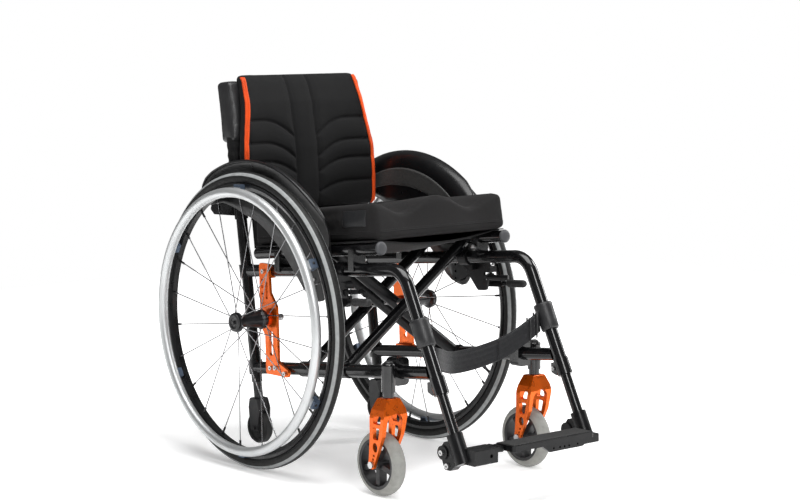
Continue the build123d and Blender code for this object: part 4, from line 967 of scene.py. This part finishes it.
guards = {}
fittings = []  # (piece, body)
for side_name, side in SIDES:
    frame_body = f"{side_name}_frame"
    rail_body = "brace_b" if side_name == "right" else "brace_a"
    y = side * FRAME_Y

    # end plugs of the tubes, and the sleeve on each leg
    cap = lathe(
        f"rail_cap_{side_name}",
        [(-0.001, 0.0118), (0.0006, 0.0129), (0.003, 0.0128), (0.0052, 0.0112), (0.0064, 0.0075), (0.0068, 0.003)],
        (AX + RAIL_END, y, RAIL_END_Z), (1, 0, RAIL_RISE), GREY_CAP, 40,
    )
    fittings.append((cap, rail_body))
    plug = lathe(
        f"upper_plug_{side_name}",
        [(-0.012, 0.0102), (-0.0002, 0.0102), (0, 0.0123), (0.0022, 0.012), (0.0034, 0.0095), (0.0036, 0.004)],
        (AX - 0.076, y, upper_z(-0.076)), (-1, 0, -UPPER_RISE), PLASTIC, 40,
    )
    fittings.append((plug, frame_body))
    dome = lathe(
        f"stem_cap_{side_name}",
        [(0.0, 0.0085), (0.0015, 0.0084), (0.0032, 0.0068), (0.0042, 0.004), (0.0044, 0.0012)],
        (AX + 0.386, side * 0.187, 0.2528), (0, 0, 1), PLASTIC, 36,
    )
    fittings.append((dome, frame_body))
    sleeve_z = 0.3115
    sleeve = lathe(
        f"leg_sleeve_{side_name}",
        [(-0.0265, 0.0127), (-0.0265, 0.0155), (-0.0235, 0.0174), (-0.008, 0.0178), (0.019, 0.0180), (0.0235, 0.0186),
         (0.0262, 0.0172), (0.0268, 0.0127)],
        (leg_x(sleeve_z), y, sleeve_z), (-LEG_SLOPE, 0, 1), PLASTIC, 48, closed=True,
    )
    fittings.append((sleeve, frame_body))

    # brake grip with finger ribs
    grip_profile = [(0.0, 0.0046), (0.001, 0.0068)]
    for rib in range(9):
        foot = 0.003 + rib * 0.0046
        grip_profile += [(foot, 0.0071), (foot + 0.0012, 0.0077), (foot + 0.0026, 0.0077), (foot + 0.0038, 0.0071)]
    grip_profile += [(0.0455, 0.0072), (0.0478, 0.006), (0.0488, 0.0035)]
    start, end = Vector((AX + 0.300, side * 0.199, 0.35891)), Vector((AX + 0.344, side * 0.199, 0.362))
    grip = lathe(f"brake_grip_{side_name}", grip_profile, start, end - start, GRIP, 32)
    fittings.append((grip, f"brake_lever_{side_name}"))

    # side guard: a moulded shell whose top rolls over the tyre, with an insert on the face beside the sitter
    shell_points, rings = [], 170
    for i in range(rings):
        around = GUARD_ANGLES[0] + (GUARD_ANGLES[-1] - GUARD_ANGLES[0]) * i / (rings - 1)
        section = guard_section(*(float(np.interp(around, GUARD_ANGLES, values)) for values in GUARD_VALUES))
        shell_points += [guard_point(math.radians(around), radius, out, side) for radius, out in section]
    count = len(section)
    faces = ring_faces(rings, count) + [tuple(reversed(range(count))), tuple(range((rings - 1) * count, rings * count))]
    guards[side_name] = add_mesh(f"guard_shell_{side_name}", shell_points, faces, GUARD_BLACK)
    fittings.append((guards[side_name], frame_body))

    def insert_shape(u, v):
        """Curved inlay that widens to its middle, with tapered ends."""
        turned = math.radians(-26 + 66 * u)
        taper = min(1.0, min(u, 1 - u) / 0.06) ** 0.5
        radius = 0.2605 + (v - 0.5) * (0.024 + 0.014 * math.sin(math.pi * u)) * (0.25 + 0.75 * taper)
        return guard_point(turned, radius, INSERT_Y, side)

    fittings.append((grid(f"guard_insert_{side_name}", insert_shape, 70, 8, SPECKLED, 0.0012), frame_body))

    # valve, handrim bolts and hub ring of the rear wheel
    wheel_body = f"rear_wheel_{side_name}"
    turned = math.radians(120)
    way = Vector((math.sin(turned), 0, math.cos(turned)))
    valve = lathe(
        f"valve_{side_name}",
        [(0.0, 0.004), (0.004, 0.004), (0.005, 0.0029), (0.018, 0.0029), (0.0185, 0.0038), (0.0285, 0.0037),
         (0.0295, 0.0024)],
        Vector((AX, side * WHEEL_Y, AXLE.z)) + way * 0.2590, -way, PLASTIC, 20,
    )
    fittings.append((valve, wheel_body))
    bolts = []
    for k in range(6):
        turned = math.radians(60 * k)
        way = Vector((math.sin(turned), 0, math.cos(turned)))
        head = Vector((AX, side * (WHEEL_Y + 0.0187), AXLE.z)) + way * 0.2705
        bolt_profile = [(0, 0.0030), (0.001, 0.0029), (0.0015, 0.0022), (0.0016, 0.001)]
        bolts.append(lathe("bolt", bolt_profile, head, way, PLASTIC, 16))
    fittings.append((join(f"handrim_bolts_{side_name}", bolts), wheel_body))
    ring = lathe(
        f"hub_ring_{side_name}",
        [(0.0, 0.0092), (0.0, 0.0172), (0.001, 0.0182), (0.0026, 0.0182), (0.0040, 0.0168), (0.0044, 0.0092)],
        (AX, side * (WHEEL_Y + 0.034), AXLE.z), (0, side, 0), PLASTIC, 40, closed=True,
    )
    fittings.append((ring, wheel_body))

for piece, body in fittings:
    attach(piece, body)


def tread_shape(u, v):
    """Ribbed pad on the footplate."""
    x = AX + 0.5635 + 0.043 * u
    y = -0.078 + 0.199 * v
    rib_pitch = 0.0075
    rib = 0.0009 * (0.5 + 0.5 * math.sin(y * 2 * math.pi / rib_pitch)) ** 2
    edge = min(1.0, min(u, 1 - u) / 0.06, min(v, 1 - v) / 0.02)
    return (x, y, 0.1152 + rib * edge)


tread = grid("footplate_tread", tread_shape, 20, 240, TREAD_PAD, 0.0012)
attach(tread, "footplate")

# -------------------- bodies for the pieces, and the model's parts they replace hidden


def fold_flat(obj, body):
    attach(obj, body)
    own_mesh(obj)


for obj in (cushion, cushion_trim, sling, sling_hem):
    fold_flat(obj, "seat")
for obj in (back_pad, back_seams, back_piping, back_flap, strap, strap_edge, strap_tail, strap_buckle):
    fold_flat(obj, "right_frame")
for side_name, side in SIDES:
    for obj in wings[side_name]:
        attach(obj, f"{side_name}_frame")

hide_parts("cushion")
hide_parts("seat_sling")
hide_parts("back_upholstery")
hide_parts("calf_strap")
for side_name, _ in SIDES:
    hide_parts(f"side_guard_{side_name}")

# -------------------- studio

FLOOR_SIZE = 6
floor_net = Net("floor_pale")
away = floor_net.node("ShaderNodeVectorMath", {0: floor_net.point}, operation="LENGTH").outputs["Value"]
FLOOR = floor_net.finish(
    Base_Color=(0.93, 0.93, 0.93), Roughness=0.9, Specular_IOR_Level=0.0, Emission_Color=(1, 1, 1),
    Emission_Strength=floor_net.span(away, 0.3, 1.0, 0.6, 1.3),
)
floor = grid("studio_floor", lambda u, v: (FLOOR_SIZE * (u - 0.5), FLOOR_SIZE * (v - 0.5), 0.0), 4, 4, FLOOR)
floor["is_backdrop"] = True

ROOM_LIGHT = 0.16
LIT_POINT = Vector((0, 0, 0.4))
world = bpy.data.worlds.new("studio")
bpy.context.scene.world = world
world.use_nodes = True
# a white backdrop behind the object, and a dim room that it reflects
backdrop = world.node_tree.nodes["Background"]
backdrop.inputs["Color"].default_value = (1.0, 1.0, 1.0, 1.0)
seen = world.node_tree.nodes.new("ShaderNodeLightPath").outputs["Is Camera Ray"]
level = world.node_tree.nodes.new("ShaderNodeMapRange")
level.inputs["To Min"].default_value, level.inputs["To Max"].default_value = ROOM_LIGHT, 1.0
world.node_tree.links.new(seen, level.inputs["Value"])
world.node_tree.links.new(level.outputs["Result"], backdrop.inputs["Strength"])


def softbox(name, place_at, width, height, power):
    """A rectangular lamp in watts that faces the chair."""
    data = bpy.data.lights.new(name, "AREA")
    data.shape, data.size, data.size_y, data.energy = "RECTANGLE", width, height, power
    obj = bpy.data.objects.new(name, data)
    bpy.context.scene.collection.objects.link(obj)
    obj.location = place_at
    obj.rotation_mode = "QUATERNION"
    obj.rotation_quaternion = (LIT_POINT - Vector(place_at)).to_track_quat("-Z", "Y")


softbox("overhead", (0.5, -0.3, 3.0), 2.6, 2.0, 95)
softbox("front_right", (2.6, -1.2, 2.0), 0.7, 1.8, 45)
softbox("left_rim", (0.6, 2.8, 1.8), 0.7, 1.8, 45)

# camera fitted to the wheels and the parallel tubes
CAMERA_AT = Vector((3.0395, -2.5456, 0.8598))
YAW, PITCH, ROLL = (math.radians(a) for a in (139.634, -6.184, -0.5445))
ahead = Vector((math.cos(PITCH) * math.cos(YAW), math.cos(PITCH) * math.sin(YAW), math.sin(PITCH)))
right = ahead.cross(Vector((0, 0, 1))).normalized()
up = right.cross(ahead)
tilted = right * math.cos(ROLL) + up * math.sin(ROLL)
raised = up * math.cos(ROLL) - right * math.sin(ROLL)
camera_data = bpy.data.cameras.new("camera")
camera_data.sensor_width, camera_data.lens = 36.0, 90.67
camera = bpy.data.objects.new("camera", camera_data)
bpy.context.scene.collection.objects.link(camera)
camera.matrix_world = Matrix.Translation(CAMERA_AT) @ Matrix((tilted, raised, -ahead)).transposed().to_4x4()
bpy.context.scene.camera = camera
bpy.context.scene.view_settings.view_transform = "Standard"

low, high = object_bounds()
